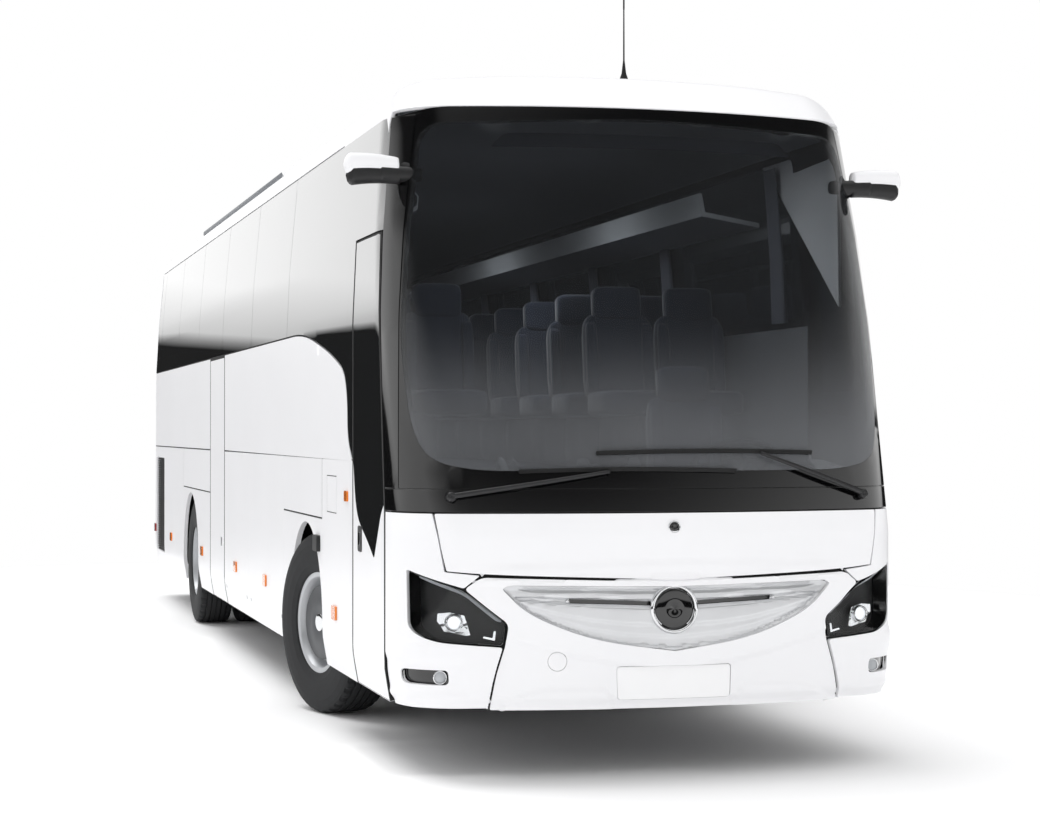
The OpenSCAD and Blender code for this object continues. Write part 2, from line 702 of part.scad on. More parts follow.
// ---- Roof equipment ----
module roof_unit() {
    x0 = axle_f - 8100;
    x1 = axle_f - 1900;
    h = 205;
    color("white") difference() {
        intersection() {
            translate([0, 0, roof_z - 60]) rotate([90, 0, 90]) linear_extrude(far, center = true)
                polygon([[-1000, 0], [1000, 0], [1000, 110], [940, 200], [800, 245], [0, 60 + h],
                    [-800, 245], [-940, 200], [-1000, 110]]);
            rotate([90, 0, 0]) linear_extrude(far, center = true)
                polygon([[x0, roof_z - 60], [x1, roof_z - 60], [x1, roof_z + 60], [x1 - 60, roof_z + 150],
                    [x1 - 200, roof_z + h], [x0 + 260, roof_z + h], [x0, roof_z + 60]]);
        }
        coach(-touch);
    }
}
antenna_x = crest_x - 217;
module antenna() {
    color([0.03, 0.03, 0.03]) translate([antenna_x, 40, roof_z - 10]) {
        difference() {
            cylinder(r1 = 45, r2 = 12, h = 60, $fn = 32);
            translate([-antenna_x, -40, 10 - roof_z]) coach(-touch);
        }
        translate([0, 0, 58]) cylinder(r1 = 6, r2 = 3, h = 470, $fn = 24);
    }
}

// ---- Floor and interior ----
step_y0 = 560;
module plate(x0, x1, y0, y1, z0, z1) { translate([x0, y0, z0]) cube([x1 - x0, y1 - y0, z1 - z0]); }
module cabin_floor() {
    fy = inner_y - touch;
    fx1 = nose_x;
    step = (front_floor_z - 370) / 2;
    mid_step = (floor_z - 370) / 4;
    color("gray") {
        difference() {
            union() {
                plate(rear_x + rear_corner + 10, front_floor_x, -fy, fy, floor_z - floor_t, floor_z);
                plate(rear_x + wall + 30, front_floor_x, rear_corner - fy, fy - rear_corner,
                    floor_z - floor_t, floor_z);
                plate(front_floor_x - 30, front_floor_x, -fy, fy, front_floor_z - 60, floor_z);
                plate(front_floor_x - 1, fx1, -step_y0, fy, front_floor_z - 60, front_floor_z);
                plate(front_floor_x - 1, front_door_x0 - 40, -fy, fy, front_floor_z - 60, front_floor_z);
                plate(front_floor_x - 1, front_floor_x + 240, -350, 350, front_floor_z - 1,
                    front_floor_z + (floor_z - front_floor_z) / 2);
            }
            plate(mid_door_x0 + 10, mid_door_x1 - 10, -far, -step_y0 + 150, 0, far);
            behind_flaps();
        }
        step_bearing(front_pivot_x);
        step_bearing(mid_pivot_x);
        // Entrance steps at the front door and the middle door
        stairs(front_door_x0 - 41, front_door_x1, [[-fy + 100, 370], [-fy + 380, 370 + step],
            [-step_y0, front_floor_z]]);
        stairs(mid_door_x0 + 9, mid_door_x1 - 9, [for (i = [0:4])
            [-fy + 100 + i * (fy - 100 - step_y0 + 150) / 4, 370 + i * mid_step]]);
    }
}
// Treads that rise inwards: each pair is the y where a tread begins and its height
module stairs(x0, x1, treads) {
    for (i = [0:len(treads) - 2]) {
        plate(x0, x1, treads[i][0], treads[i + 1][0] + 1, treads[i][1] - 30, treads[i][1]);
        plate(x0, x1, treads[i + 1][0] - 1, treads[i + 1][0] + 29, treads[i][1] - 30, treads[i + 1][1]);
    }
}
// Clearance behind the luggage flaps and the middle door
module behind_flaps() {
    both_sides() plate(mid_door_x0 - 1, front_flap_x + 1, inner_y - door_gap, far, 0, far);
}
module underframe() {
    fz = floor_z - floor_t - touch;
    fy = inner_y - touch;
    color([0.15, 0.15, 0.16]) {
        // Luggage bay floor and the bulkheads at its ends
        difference() {
            union() {
                plate(bay_x0, bay_x1, -fy, fy, bay_z - 30, bay_z);
                plate(bay_x0 - 30, bay_x0, -fy, fy, bay_z - 30, fz);
                plate(bay_x1, bay_x1 + 30, -fy, fy, bay_z - 30, fz);
                plate(mid_door_x1 - 8, mid_door_x1 + 22, -fy, -step_y0 + 170, bay_z - 30, fz);
                plate(mid_door_x0 - 22, mid_door_x0 + 8, post_y + 55, -step_y0 + 170, bay_z - 30, fz);
            }
            plate(mid_door_x0 + 8, mid_door_x1 - 8, -far, -step_y0 + 185, 0, far);
            behind_flaps();
        }
        // Rails, wheel housings and cross members, left and right
        both_sides() {
            plate(bay_x1 - 1, front_floor_x - 31, rail_y0, rail_y1, rail_z0, rail_z1);
            plate(front_floor_x - 32, front_x - 480, rail_y0, rail_y1, 560, 720);
            plate(rear_x + 330, bay_x0 + 1, rail_y0, rail_y1, rail_z0, rail_z1);
            housing(bay_x1, axle_f + housing_half + 75);
            housing(axle_r - housing_half - 100, bay_x0);
            plate(axle_f + housing_half + 75, axle_f + housing_half + 105, rail_y1 - 1, fy, 500, front_floor_z - 62);
            plate(axle_r - housing_half - 130, axle_r - housing_half - 100, rail_y1 - 1, fy, 450, fz);
        }
        plate(front_x - 560, front_x - 480, -rail_y1, rail_y1, 560, 720);
        plate(front_floor_x - 120, front_floor_x - 31, -rail_y1, rail_y1, 560, rail_z1);
        plate(axle_f - 560, axle_f - 480, -rail_y1, rail_y1, rail_z0, rail_z1);
        plate(rear_x + 260, rear_x + 340, -rail_y1, rail_y1, rail_z0, rail_z1);
        plate(axle_r - 560, axle_r - 480, -rail_y1, rail_y1, rail_z0, rail_z1);
    }
}
module housing(x0, x1) {
    plate(x0, x1, housing_y, housing_y + 12, rail_z1 - 10, floor_z - floor_t - touch);
    plate(x0, x1, rail_y0, housing_y + 1, rail_z1 - 10, rail_z1 + 10);
    plate(x0, x1, housing_y, inner_y - touch, housing_z, housing_z + 12);
}
module engine() {
    color("dimgray") plate(rear_x + 420, rear_x + 1620, touch - rail_y0, rail_y0 - touch, 480, 1250);
}

// ---- Axles, knuckles and wheels ----
module across(y0, y1, r) {
    translate([0, y0, 0]) rotate([-90, 0, 0]) cylinder(r = r, h = y1 - y0, $fn = 64);
}
module air_spring(z0) {
    translate([0, (rail_y0 + rail_y1) / 2, z0])
        cylinder(r = 105, h = rail_z0 - touch - z0, $fn = 48);
}
module front_axle() {
    color([0.12, 0.12, 0.13]) translate([axle_f, 0, 0]) {
        difference() {
            union() {
                plate(-60, 60, 60 - king_y, king_y - 60, wheel_z - 52, wheel_z + 60);
                both_sides() {
                    translate([0, king_y, wheel_z - 70]) cylinder(r = 45, h = 140, $fn = 48);
                    plate(-40, 40, king_y - 61, king_y, wheel_z - 50, wheel_z + 50);
                    air_spring(wheel_z + 50);
                }
            }
            both_sides() translate([0, king_y, 0]) cylinder(r = 25 + touch, h = far, $fn = 48);
        }
    }
}
module rear_axle() {
    color([0.12, 0.12, 0.13]) translate([axle_r, 0, 0]) {
        translate([0, 0, wheel_z]) {
            across(-twin_y - 100, twin_y + 100, 88);
            across(-150, 150, 190);
            both_sides() {
                across(twin_y - 110, twin_y + 60, 225);
                across(twin_y + 50, twin_y + 178, hub_r);
            }
        }
        both_sides() {
            plate(-110, 110, rail_y0 - 30, rail_y1 + 30, wheel_z + 40, wheel_z + 105);
            air_spring(wheel_z + 100);
        }
    }
}
// Places a piece, drawn with its wheel's middle at y = king_off, on a steered kingpin
module steered(s) {
    translate([axle_f, s * king_y, wheel_z]) rotate([0, 0, steer])
        mirror([0, s > 0 ? 0 : 1, 0]) children();
}
module steering_knuckle() {
    color([0.12, 0.12, 0.13]) {
        translate([0, 0, -118]) cylinder(r = 25, h = 236, $fn = 48);
        for (z = [-118, 76]) plate(-50, 50, -40, 61, z, z + 42);
        across(king_off - 90, king_off + 8, 225);
        across(king_off, king_off + 30, hub_r);
    }
}
module knuckle_left() { steered(1) steering_knuckle(); }
module knuckle_right() { steered(-1) steering_knuckle(); }

// Outlines are drawn as radius and distance outboard of the tyre's middle
module turned(points) { rotate([-90, 0, 0]) rotate_extrude($fn = 96) polygon(points); }
module tyre() {
    hwid = tyre_w / 2;
    bead = rim_r + touch;
    color([0.05, 0.05, 0.05]) turned([[bead, -112], [bead + 17, -116], [bead + 32, -hwid + 18], [bead + 75, -hwid + 4],
        [bead + 120, -hwid], [wheel_r - 55, -hwid + 6], [wheel_r - 14, -hwid + 16], [wheel_r, -hwid + 36],
        [wheel_r, hwid - 36], [wheel_r - 14, hwid - 16], [wheel_r - 55, hwid - 6],
        [bead + 120, hwid], [bead + 75, hwid - 4], [bead + 32, hwid - 18], [bead + 17, 116], [bead, 112]]);
}
// Front rim: barrel, dished disc and closed hub cover, with a blind bore for the hub
module front_rim() {
    color("silver") turned([[rim_r - 22, -124], [rim_r + 14, -124], [rim_r + 14, -118], [rim_r, -114],
        [rim_r, 114], [rim_r + 14, 118], [rim_r + 14, 124], [rim_r - 22, 124], [rim_r - 40, 40],
        [200, 62], [195, 98], [0, 104], [0, 36], [hub_r + touch, 36], [hub_r + touch, 14],
        [rim_r - 30, 14], [rim_r - 22, -10]]);
}
// Rear rims: two barrels on one pair of discs, with a hub that stands in the outer dish
module rear_rims() {
    gap = wheel_y - twin_y;
    mid = -gap / 2;
    color("silver") turned([[rim_r - 22, -gap - 124], [rim_r + 14, -gap - 124], [rim_r + 14, -gap - 118],
        [rim_r, -gap - 114], [rim_r, -gap + 114], [rim_r + 14, -gap + 118], [rim_r + 14, -118],
        [rim_r, -114], [rim_r, 114], [rim_r + 14, 118], [rim_r + 14, 124], [rim_r - 22, 124],
        [rim_r - 40, mid + 60], [190, mid + 22], [150, mid + 30], [140, 40], [110, 60], [0, 60],
        [0, mid + 8], [hub_r + touch, mid + 8], [hub_r + touch, mid - 20], [rim_r - 40, mid - 30],
        [rim_r - 22, mid - 60]]);
}
module tyre_front_left() { steered(1) translate([0, king_off, 0]) tyre(); }
module tyre_front_right() { steered(-1) translate([0, king_off, 0]) tyre(); }
module rim_front_left() { steered(1) translate([0, king_off, 0]) front_rim(); }
module rim_front_right() { steered(-1) translate([0, king_off, 0]) front_rim(); }
module rear_wheel(s) {
    translate([axle_r, s * wheel_y, wheel_z]) mirror([0, s > 0 ? 0 : 1, 0]) children();
}
module twin_tyres() { tyre(); translate([0, twin_y - wheel_y, 0]) tyre(); }
module tyres_rear_left() { rear_wheel(1) twin_tyres(); }
module tyres_rear_right() { rear_wheel(-1) twin_tyres(); }
module rims_rear_left() { rear_wheel(1) rear_rims(); }
module rims_rear_right() { rear_wheel(-1) rear_rims(); }

// ---- Seats, dashboard, steering wheel and racks ----
seat_w = 435;
driver_x = front_floor_x + 425;
module seat(x, y, z) {
    translate([x, y + seat_w, z]) rotate([90, 0, 0]) linear_extrude(seat_w)
        polygon([[-190, 0], [150, 0], [150, 290], [240, 330], [240, 450], [-190, 460],
            [-330, seat_h], [-430, seat_h], [-300, 430], [-190, 300]]);
}
row_count = floor((seat_x1 - seat_x0) / seat_pitch);
module seats() {
    color([0.2, 0.2, 0.22]) {
        for (i = [0:row_count], s = [-1, 1], j = [0, 1]) {
            x = seat_x1 - i * seat_pitch;
            in_doorway = s < 0 && x > mid_door_x0 - 250 && x < mid_door_x1 + 460;
            y = s > 0 ? inner_y - 20 - seat_w - j * (seat_w + 12) : 20 - inner_y + j * (seat_w + 12);
            if (!in_doorway) seat(x, y, floor_z + touch);
        }
        seat(driver_x, 430, front_floor_z + touch);
    }
}
dash_z = 1330;
module dashboard() {
    column_x = axle_f + 2080;
    color([0.07, 0.07, 0.08]) {
        intersection() {
            union() {
                plate(front_x - 500, front_x, -hw, hw, front_floor_z + 80, dash_z);
                plate(axle_f + 2060, front_x, 120, hw, front_floor_z + 80, dash_z);
            }
            coach(wall + touch);
        }
        steering_axis() translate([0, 0, -420]) cylinder(r = 30, h = 416, $fn = 32);
    }
}
// The steering wheel's own frame: its axis rises towards the driver
steering_x = axle_f + 1880;
steering_y = 650;
steering_tilt = 30;
module steering_axis() {
    translate([steering_x, steering_y, dash_z + 140]) rotate([0, -steering_tilt, 0]) children();
}
module steering_wheel() {
    color([0.05, 0.05, 0.05]) steering_axis() {
        rotate_extrude($fn = 64) translate([steering_r - 16, 0]) circle(r = 16, $fn = 24);
        translate([0, 0, -touch - 3]) cylinder(r = 55, h = 30, $fn = 32);
        for (a = [90, 210, 330]) rotate([0, 0, a]) translate([0, -15, 0]) cube([steering_r - 20, 30, 12]);
    }
}
module luggage_racks() {
    color([0.75, 0.76, 0.78]) both_sides() intersection() {
        rotate([90, 0, 90]) translate([0, 0, seat_x0 - 300]) linear_extrude(seat_x1 + 200 - seat_x0 + 300)
            polygon([[hw - 430, roof_seam_z - 330], [hw, roof_seam_z - 400], [hw, roof_seam_z - 375],
                [hw - 410, roof_seam_z - 305], [hw - 430, roof_seam_z - 200], [hw - 450, roof_seam_z - 200]]);
        coach(wall + touch);
    }
}

side_wall_right();
side_wall_left();
roof();
front_header();
rear_panel();
engine_lid();
screen_surround();
windscreen();
windows();
front_panel();
front_bumper();
bumper_corners();
grille();
front_lamps();
tail_lamps();
mirrors();
wipers();
front_door();
front_door_glass();
front_door_arm();
mid_door();
mid_door_arm();
luggage_flap_right_front();
luggage_flap_right_rear();
luggage_flap_left_front();
luggage_flap_left_mid();
luggage_flap_left_rear();
roof_hatch();
roof_unit();
antenna();
cabin_floor();
underframe();
engine();
front_axle();
rear_axle();
knuckle_left();
knuckle_right();
tyre_front_left();
rim_front_left();
tyre_front_right();
rim_front_right();
tyres_rear_left();
rims_rear_left();
tyres_rear_right();
rims_rear_right();
seats();
dashboard();
steering_wheel();
luggage_racks();
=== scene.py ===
import json
import math
import bpy
import numpy as np
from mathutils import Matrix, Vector
from mathutils.geometry import delaunay_2d_cdt

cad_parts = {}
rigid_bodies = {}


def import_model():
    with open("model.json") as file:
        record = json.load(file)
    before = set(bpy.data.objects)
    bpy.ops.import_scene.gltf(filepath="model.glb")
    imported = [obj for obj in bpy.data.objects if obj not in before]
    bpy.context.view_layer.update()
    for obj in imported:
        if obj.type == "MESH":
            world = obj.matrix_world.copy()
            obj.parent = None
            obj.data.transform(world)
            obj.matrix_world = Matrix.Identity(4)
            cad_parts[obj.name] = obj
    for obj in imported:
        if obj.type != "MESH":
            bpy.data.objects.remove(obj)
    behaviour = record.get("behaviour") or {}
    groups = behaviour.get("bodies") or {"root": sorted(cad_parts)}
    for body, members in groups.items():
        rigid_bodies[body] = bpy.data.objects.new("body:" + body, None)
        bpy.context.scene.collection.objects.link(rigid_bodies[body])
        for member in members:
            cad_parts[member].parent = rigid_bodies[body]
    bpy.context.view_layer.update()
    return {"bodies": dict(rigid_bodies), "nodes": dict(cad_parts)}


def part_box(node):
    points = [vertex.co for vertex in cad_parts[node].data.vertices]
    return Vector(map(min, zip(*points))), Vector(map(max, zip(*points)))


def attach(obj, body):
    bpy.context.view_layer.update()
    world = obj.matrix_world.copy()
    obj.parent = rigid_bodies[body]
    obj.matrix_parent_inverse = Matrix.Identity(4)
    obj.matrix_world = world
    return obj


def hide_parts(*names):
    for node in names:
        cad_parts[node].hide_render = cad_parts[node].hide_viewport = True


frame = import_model()

# ---- Studio ----
# A pale floor under an even white sky, with one broad soft light from behind the right shoulder.
# For reflections alone the sky is a white band above a low dark horizon, as in a studio with flags.
scene = bpy.context.scene
scene.view_settings.view_transform = "Standard"


def add(tree, kind, settings, links=()):
    """Adds one node, gives its sockets and properties their values, and joins (socket, source) pairs."""
    node = tree.nodes.new(kind)
    for key, value in settings.items():
        if isinstance(key, int) or key in node.inputs:
            node.inputs[key].default_value = value
        else:
            setattr(node, key, value)
    for socket, source in links:
        tree.links.new(source, node.inputs[socket])
    return node


def ramp(tree, source, stops):
    """A colour ramp through grey stops, each a (position, value) pair."""
    node = add(tree, "ShaderNodeValToRGB", {}, [("Fac", source)])
    for position, value in stops[2:]:
        node.color_ramp.elements.new(position)
    for element, (position, value) in zip(node.color_ramp.elements, sorted(stops)):
        element.position = position
        element.color = (value, value, value, 1)
    return node.outputs["Color"]


sky = bpy.data.worlds.new("studio_sky")
scene.world = sky
sky.use_nodes = True
sky.node_tree.nodes.clear()
way = add(sky.node_tree, "ShaderNodeTexCoord", {}).outputs["Generated"]
parts = add(sky.node_tree, "ShaderNodeSeparateXYZ", {}, [("Vector", way)])
# The ramp runs over the sine of the elevation: dark under 3 degrees, white to 16, dark from 24 to 38
band = ramp(sky.node_tree, parts.outputs["Z"], [
    (0.0, 0.015), (0.049, 0.015), (0.053, 0.60), (0.085, 1.0), (0.28, 0.95), (0.40, 0.05), (0.62, 0.03),
    (0.80, 0.90), (1.0, 0.95)])
mirrored = add(sky.node_tree, "ShaderNodeBackground", {"Strength": 1.2}, [("Color", band)])
plain = add(sky.node_tree, "ShaderNodeBackground", {"Color": (1, 1, 1, 1), "Strength": 1.0})
ray = add(sky.node_tree, "ShaderNodeLightPath", {}).outputs["Is Glossy Ray"]
mixed = add(sky.node_tree, "ShaderNodeMixShader", {},
            [(0, ray), (1, plain.outputs[0]), (2, mirrored.outputs[0])])
add(sky.node_tree, "ShaderNodeOutputWorld", {}, [("Surface", mixed.outputs[0])])

lamp_data = bpy.data.lights.new("soft_sun", "SUN")
lamp_data.energy = 1.5
lamp_data.angle = math.radians(35)
soft_sun = bpy.data.objects.new("soft_sun", lamp_data)
soft_sun.rotation_euler = Vector((0.45, 0.28, -1)).to_track_quat("-Z", "Y").to_euler()
scene.collection.objects.link(soft_sun)

camera_data = bpy.data.cameras.new("camera")
camera_data.lens = 75.01
camera_data.sensor_width = 36
camera_data.clip_end = 500
camera = bpy.data.objects.new("camera", camera_data)
camera_yaw = math.radians(14.867)
camera_pitch = math.radians(0.385)
camera.location = (15.7785, -3.308, 1.632)
camera.rotation_euler = Vector((-math.cos(camera_yaw) * math.cos(camera_pitch),
                                math.sin(camera_yaw) * math.cos(camera_pitch),
                                math.sin(camera_pitch))).to_track_quat("-Z", "Y").to_euler()
scene.collection.objects.link(camera)
scene.camera = camera


def srgb(code):
    """Linear colour of an sRGB hex value."""
    part = np.array([int(code[i:i + 2], 16) for i in (1, 3, 5)]) / 255
    part = np.where(part <= 0.04045, part / 12.92, ((part + 0.055) / 1.055) ** 2.4)
    return (*part.tolist(), 1.0)


def coating(name, settings):
    """A new material with one Principled shader; returns it, its tree, its shader and Object coordinates."""
    material = bpy.data.materials.new(name)
    material.use_nodes = True
    tree = material.node_tree
    tree.nodes.clear()
    shader = add(tree, "ShaderNodeBsdfPrincipled", settings)
    add(tree, "ShaderNodeOutputMaterial", {}, [("Surface", shader.outputs["BSDF"])])
    place = add(tree, "ShaderNodeTexCoord", {}).outputs["Object"]
    return material, tree, shader, place


def mottle(tree, shader, place, patch, first, second, socket="Base Color"):
    """Lets a colour drift between two hex values over patches of that size in metres."""
    noise = add(tree, "ShaderNodeTexNoise", {"Scale": 1 / patch, "Detail": 4.0}, [("Vector", place)])
    mix = add(tree, "ShaderNodeMix", {"data_type": "RGBA", 6: srgb(first), 7: srgb(second)},
              [(0, noise.outputs["Fac"])])
    tree.links.new(mix.outputs[2], shader.inputs[socket])


def relief(tree, shader, place, grain, depth, kind="ShaderNodeTexNoise"):
    """Raises the surface in grains of that size and depth in metres."""
    pattern = add(tree, kind, {"Scale": 1 / grain}, [("Vector", place)])
    height = pattern.outputs["Fac" if kind == "ShaderNodeTexNoise" else "Distance"]
    bump = add(tree, "ShaderNodeBump", {"Strength": 1.0, "Distance": depth}, [("Height", height)])
    tree.links.new(bump.outputs["Normal"], shader.inputs["Normal"])


floor_paint, tree, shader, place = coating("matt_white_floor", {"Roughness": 0.9})
mottle(tree, shader, place, 2.5, "#FBFBFB", "#F8F8F9")
turn = np.linspace(0, 2 * math.pi, 73)[:-1]
rim_points = np.stack([6.0 + 17 * np.cos(turn), 9 * np.sin(turn) - 0.5, 0 * turn], 1)
floor_mesh = bpy.data.meshes.new("floor")
floor_mesh.from_pydata(rim_points.tolist(), [], [list(range(72))])
floor_mesh.materials.append(floor_paint)
floor = bpy.data.objects.new("floor", floor_mesh)
scene.collection.objects.link(floor)

# ---- Chassis ----
# Welded steel rails, wheel housings and cast axles, painted black and a little dusty from the road.
# They are fixed under the floor and carry everything else.
chassis_paint, tree, shader, place = coating("black_chassis_paint", {"Roughness": 0.55})
mottle(tree, shader, place, 0.35, "#17181A", "#2A2A2B")
relief(tree, shader, place, 0.012, 0.0004)
cast_iron, tree, shader, place = coating("grey_cast_iron", {"Metallic": 0.6, "Roughness": 0.6})
mottle(tree, shader, place, 0.12, "#3A3B3D", "#55534F")
relief(tree, shader, place, 0.006, 0.0006)


def coat_node(material, *nodes):
    """Gives CAD nodes a material on every slot."""
    for node in nodes:
        slots = frame["nodes"][node].data.materials
        for i in range(max(1, len(slots))):
            if i < len(slots):
                slots[i] = material
            else:
                slots.append(material)


coat_node(chassis_paint, "underframe", "front_door_arm", "mid_door_arm")
coat_node(cast_iron, "engine", "front_axle", "rear_axle", "knuckle_left", "knuckle_right")

# ---- Cabin floor ----
# Plywood deck and steps under studded rubber sheet with a fine speckle, glued down in long strips.
deck, tree, shader, place = coating("speckled_rubber_sheet", {"Roughness": 0.7})
mottle(tree, shader, place, 0.004, "#4A4B4F", "#6B6C70")
relief(tree, shader, place, 0.02, 0.0008, "ShaderNodeTexVoronoi")
coat_node(deck, "cabin_floor")

# ---- Side walls ----
# Pressed steel panels in white enamel over a welded frame. Every panel is its own sheet with a
# shadow gap round it, and black sealing strip lies behind the gaps.
front_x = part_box("front_bumper")[1].x
rear_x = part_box("rear_panel")[0].x
half_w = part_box("side_wall_left")[1].y
roof_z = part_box("front_header")[1].z
roof_seam_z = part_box("roof")[0].z
sill_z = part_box("mid_door")[1].z + 0.006
waist_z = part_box("luggage_flap_right_front")[1].z - 0.005
gap = 0.005


def smooth_table(x, y, width, count=1200):
    """Samples a broken line finely and averages it over a sliding window, so its corners turn round."""
    fine = np.linspace(x[0] - width, x[-1] + width, count)
    low = (y[1] - y[0]) / (x[1] - x[0])
    high = (y[-1] - y[-2]) / (x[-1] - x[-2])
    value = np.interp(fine, x, y) + np.minimum(fine - x[0], 0) * low + np.maximum(fine - x[-1], 0) * high
    n = max(1, int(width / 2 / (fine[1] - fine[0])))
    window = np.hanning(2 * n + 3)[1:-1]
    padded = np.concatenate([value[0] + (np.arange(-n, 0)) * (value[1] - value[0]), value,
                             value[-1] + np.arange(1, n + 1) * (value[-1] - value[-2])])
    return fine, np.convolve(padded, window / window.sum(), "valid")


# Cross-section: half width against height, and its arc length up to the middle of the roof
section_line = np.array([
    [half_w - 0.03, 0.327], [half_w, 0.497], [half_w, sill_z], [half_w - 0.018, 2.601],
    [half_w - 0.07, roof_seam_z], [half_w - 0.11, roof_z - 0.11], [half_w - 0.17, roof_z - 0.055],
    [half_w - 0.27, roof_z - 0.025], [half_w - 0.6, roof_z - 0.007], [0, roof_z]])
both = np.vstack([section_line, section_line[-2::-1] * [-1, 1]])
length = np.concatenate([[0], np.cumsum(np.hypot(*np.diff(both, axis=0).T))])
arc_t, section_y = smooth_table(length, both[:, 0], 0.12)
arc_t, section_h = smooth_table(length, both[:, 1], 0.12)
top_t = length[len(section_line) - 1]
rising = arc_t <= top_t


def half_at(z):
    """Half width of the body at height z."""
    return np.interp(z, section_h[rising], section_y[rising])


def roof_at(y):
    """Height of the roof's section at half width |y|."""
    upper = rising & (section_h > sill_z)
    return np.interp(-np.abs(y), -section_y[upper], section_h[upper])


back_z, back_x = smooth_table([0, 1.139, 3.213, 3.6], [0, 0, 0.4674, 0.945], 0.07)
tail_z, tail_x = smooth_table([0, 0.43, 0.56, 0.9, 1.5, roof_seam_z, 3.325, 3.6],
                              [0.2, 0.06, 0, 0, 0.025, 0.1, 0.17, 0.3], 0.06)
bow_r = 3.6
bow_half = 1.0
bow_angle = math.asin(bow_half / bow_r)
corner_r = (half_w - bow_half) / (1 - math.sin(bow_angle))
corner_x = -bow_r + (bow_r - corner_r) * math.cos(bow_angle)
corner_y = (bow_r - corner_r) * math.sin(bow_angle)
bow_s = bow_r * bow_angle
corner_s = bow_s + corner_r * (math.pi / 2 - bow_angle)
tail_r = 0.15


def side_half(x, z):
    """Half width of the body at x and z, drawn in where the front and rear corners turn."""
    nose = np.clip((x - (front_x - np.interp(z, back_z, back_x) + corner_x)) / corner_r, 0, 0.9999)
    tail = np.clip((rear_x + np.interp(z, tail_z, tail_x) + tail_r - x) / tail_r, 0, 0.9999)
    return (half_at(z) - (half_w - corner_y) * (1 - np.sqrt(1 - nose ** 2)) * (nose > 0)
            - tail_r * (1 - np.sqrt(1 - tail ** 2)))


def on_side(side):
    """Maps (x, z, depth) onto the right (-1) or left (1) side."""
    def place_points(u, v, depth):
        """y is the body's half width at x and z, less the depth, times the side's sign."""
        return np.stack([u, side * (side_half(u, v) - depth), v], 1)
    return place_points


def dense(points, step):
    """Adds points along a closed outline so that none are more than `step` apart."""
    points = np.asarray(points, float)
    rows = []
    for a, b in zip(points, np.roll(points, -1, 0)):
        count = max(1, math.ceil(np.linalg.norm(b - a) / step))
        rows.append(a + (b - a) * (np.arange(count) / count)[:, None])
    return np.vstack(rows)


def rounded(corners, cut, steps=5):
    """Turns each corner into a parabola that starts `cut` metres before it; cut may be one value each."""
    corners = np.asarray(corners, float)
    cuts = np.broadcast_to(cut, len(corners))
    before = np.roll(corners, 1, 0) - corners
    after = np.roll(corners, -1, 0) - corners
    reach_a = np.minimum(cuts, 0.48 * np.linalg.norm(before, axis=1))
    reach_b = np.minimum(cuts, 0.48 * np.linalg.norm(after, axis=1))
    a = corners + before / np.linalg.norm(before, axis=1)[:, None] * reach_a[:, None]
    b = corners + after / np.linalg.norm(after, axis=1)[:, None] * reach_b[:, None]
    t = np.linspace(0, 1, steps + 1)[None, :, None]
    curve = (1 - t) ** 2 * a[:, None] + 2 * t * (1 - t) * corners[:, None] + t ** 2 * b[:, None]
    curve = curve.reshape(-1, 2)
    keep = np.linalg.norm(curve - np.roll(curve, 1, 0), axis=1) > 1e-6
    return curve[keep]


def inside(points, loops):
    """True for points inside an odd number of the loops: a ray to the right crosses their edges."""
    odd = np.zeros(len(points), bool)
    for loop in loops:
        ax, ay = loop.T
        bx, by = np.roll(loop, -1, 0).T
        for i in range(0, len(points), 4000):
            px, py = points[i:i + 4000, :1], points[i:i + 4000, 1:]
            spans = (ay > py) != (by > py)
            cross = px < (bx - ax) * (py - ay) / np.where(by == ay, 1, by - ay) + ax
            odd[i:i + 4000] ^= (np.sum(spans & cross, 1) % 2).astype(bool)
    return odd


def cut_sheet(outline, holes, step):
    """Triangles inside an outline and outside its holes, with inner points on a square grid."""
    loops = [dense(loop, step) for loop in (outline, *holes)]
    low, high = loops[0].min(0), loops[0].max(0)
    count = np.ceil((high - low) / step).astype(int)
    taken = np.zeros(count + 1, bool)
    for loop in loops:
        near = np.clip(((dense(loop, step / 3) - low) / step).astype(int), 0, count)
        taken[near[:, 0], near[:, 1]] = True
    cells = np.argwhere(~taken)
    inner = low + (cells + 0.5) * step
    inner = inner[inside(inner, loops)]
    points = np.vstack([*loops, inner])
    edges, start = [], 0
    for loop in loops:
        n = len(loop)
        edges += [(start + i, start + (i + 1) % n) for i in range(n)]
        start += n
    found = delaunay_2d_cdt([Vector(p) for p in points], edges, [], 1, 1e-7, False)
    points = np.array([p[:] for p in found[0]])
    faces = np.array(found[2])
    faces = faces[inside(points[faces].mean(1), loops)]
    used, faces = np.unique(faces, return_inverse=True)
    return points[used], faces.reshape(-1, 3)


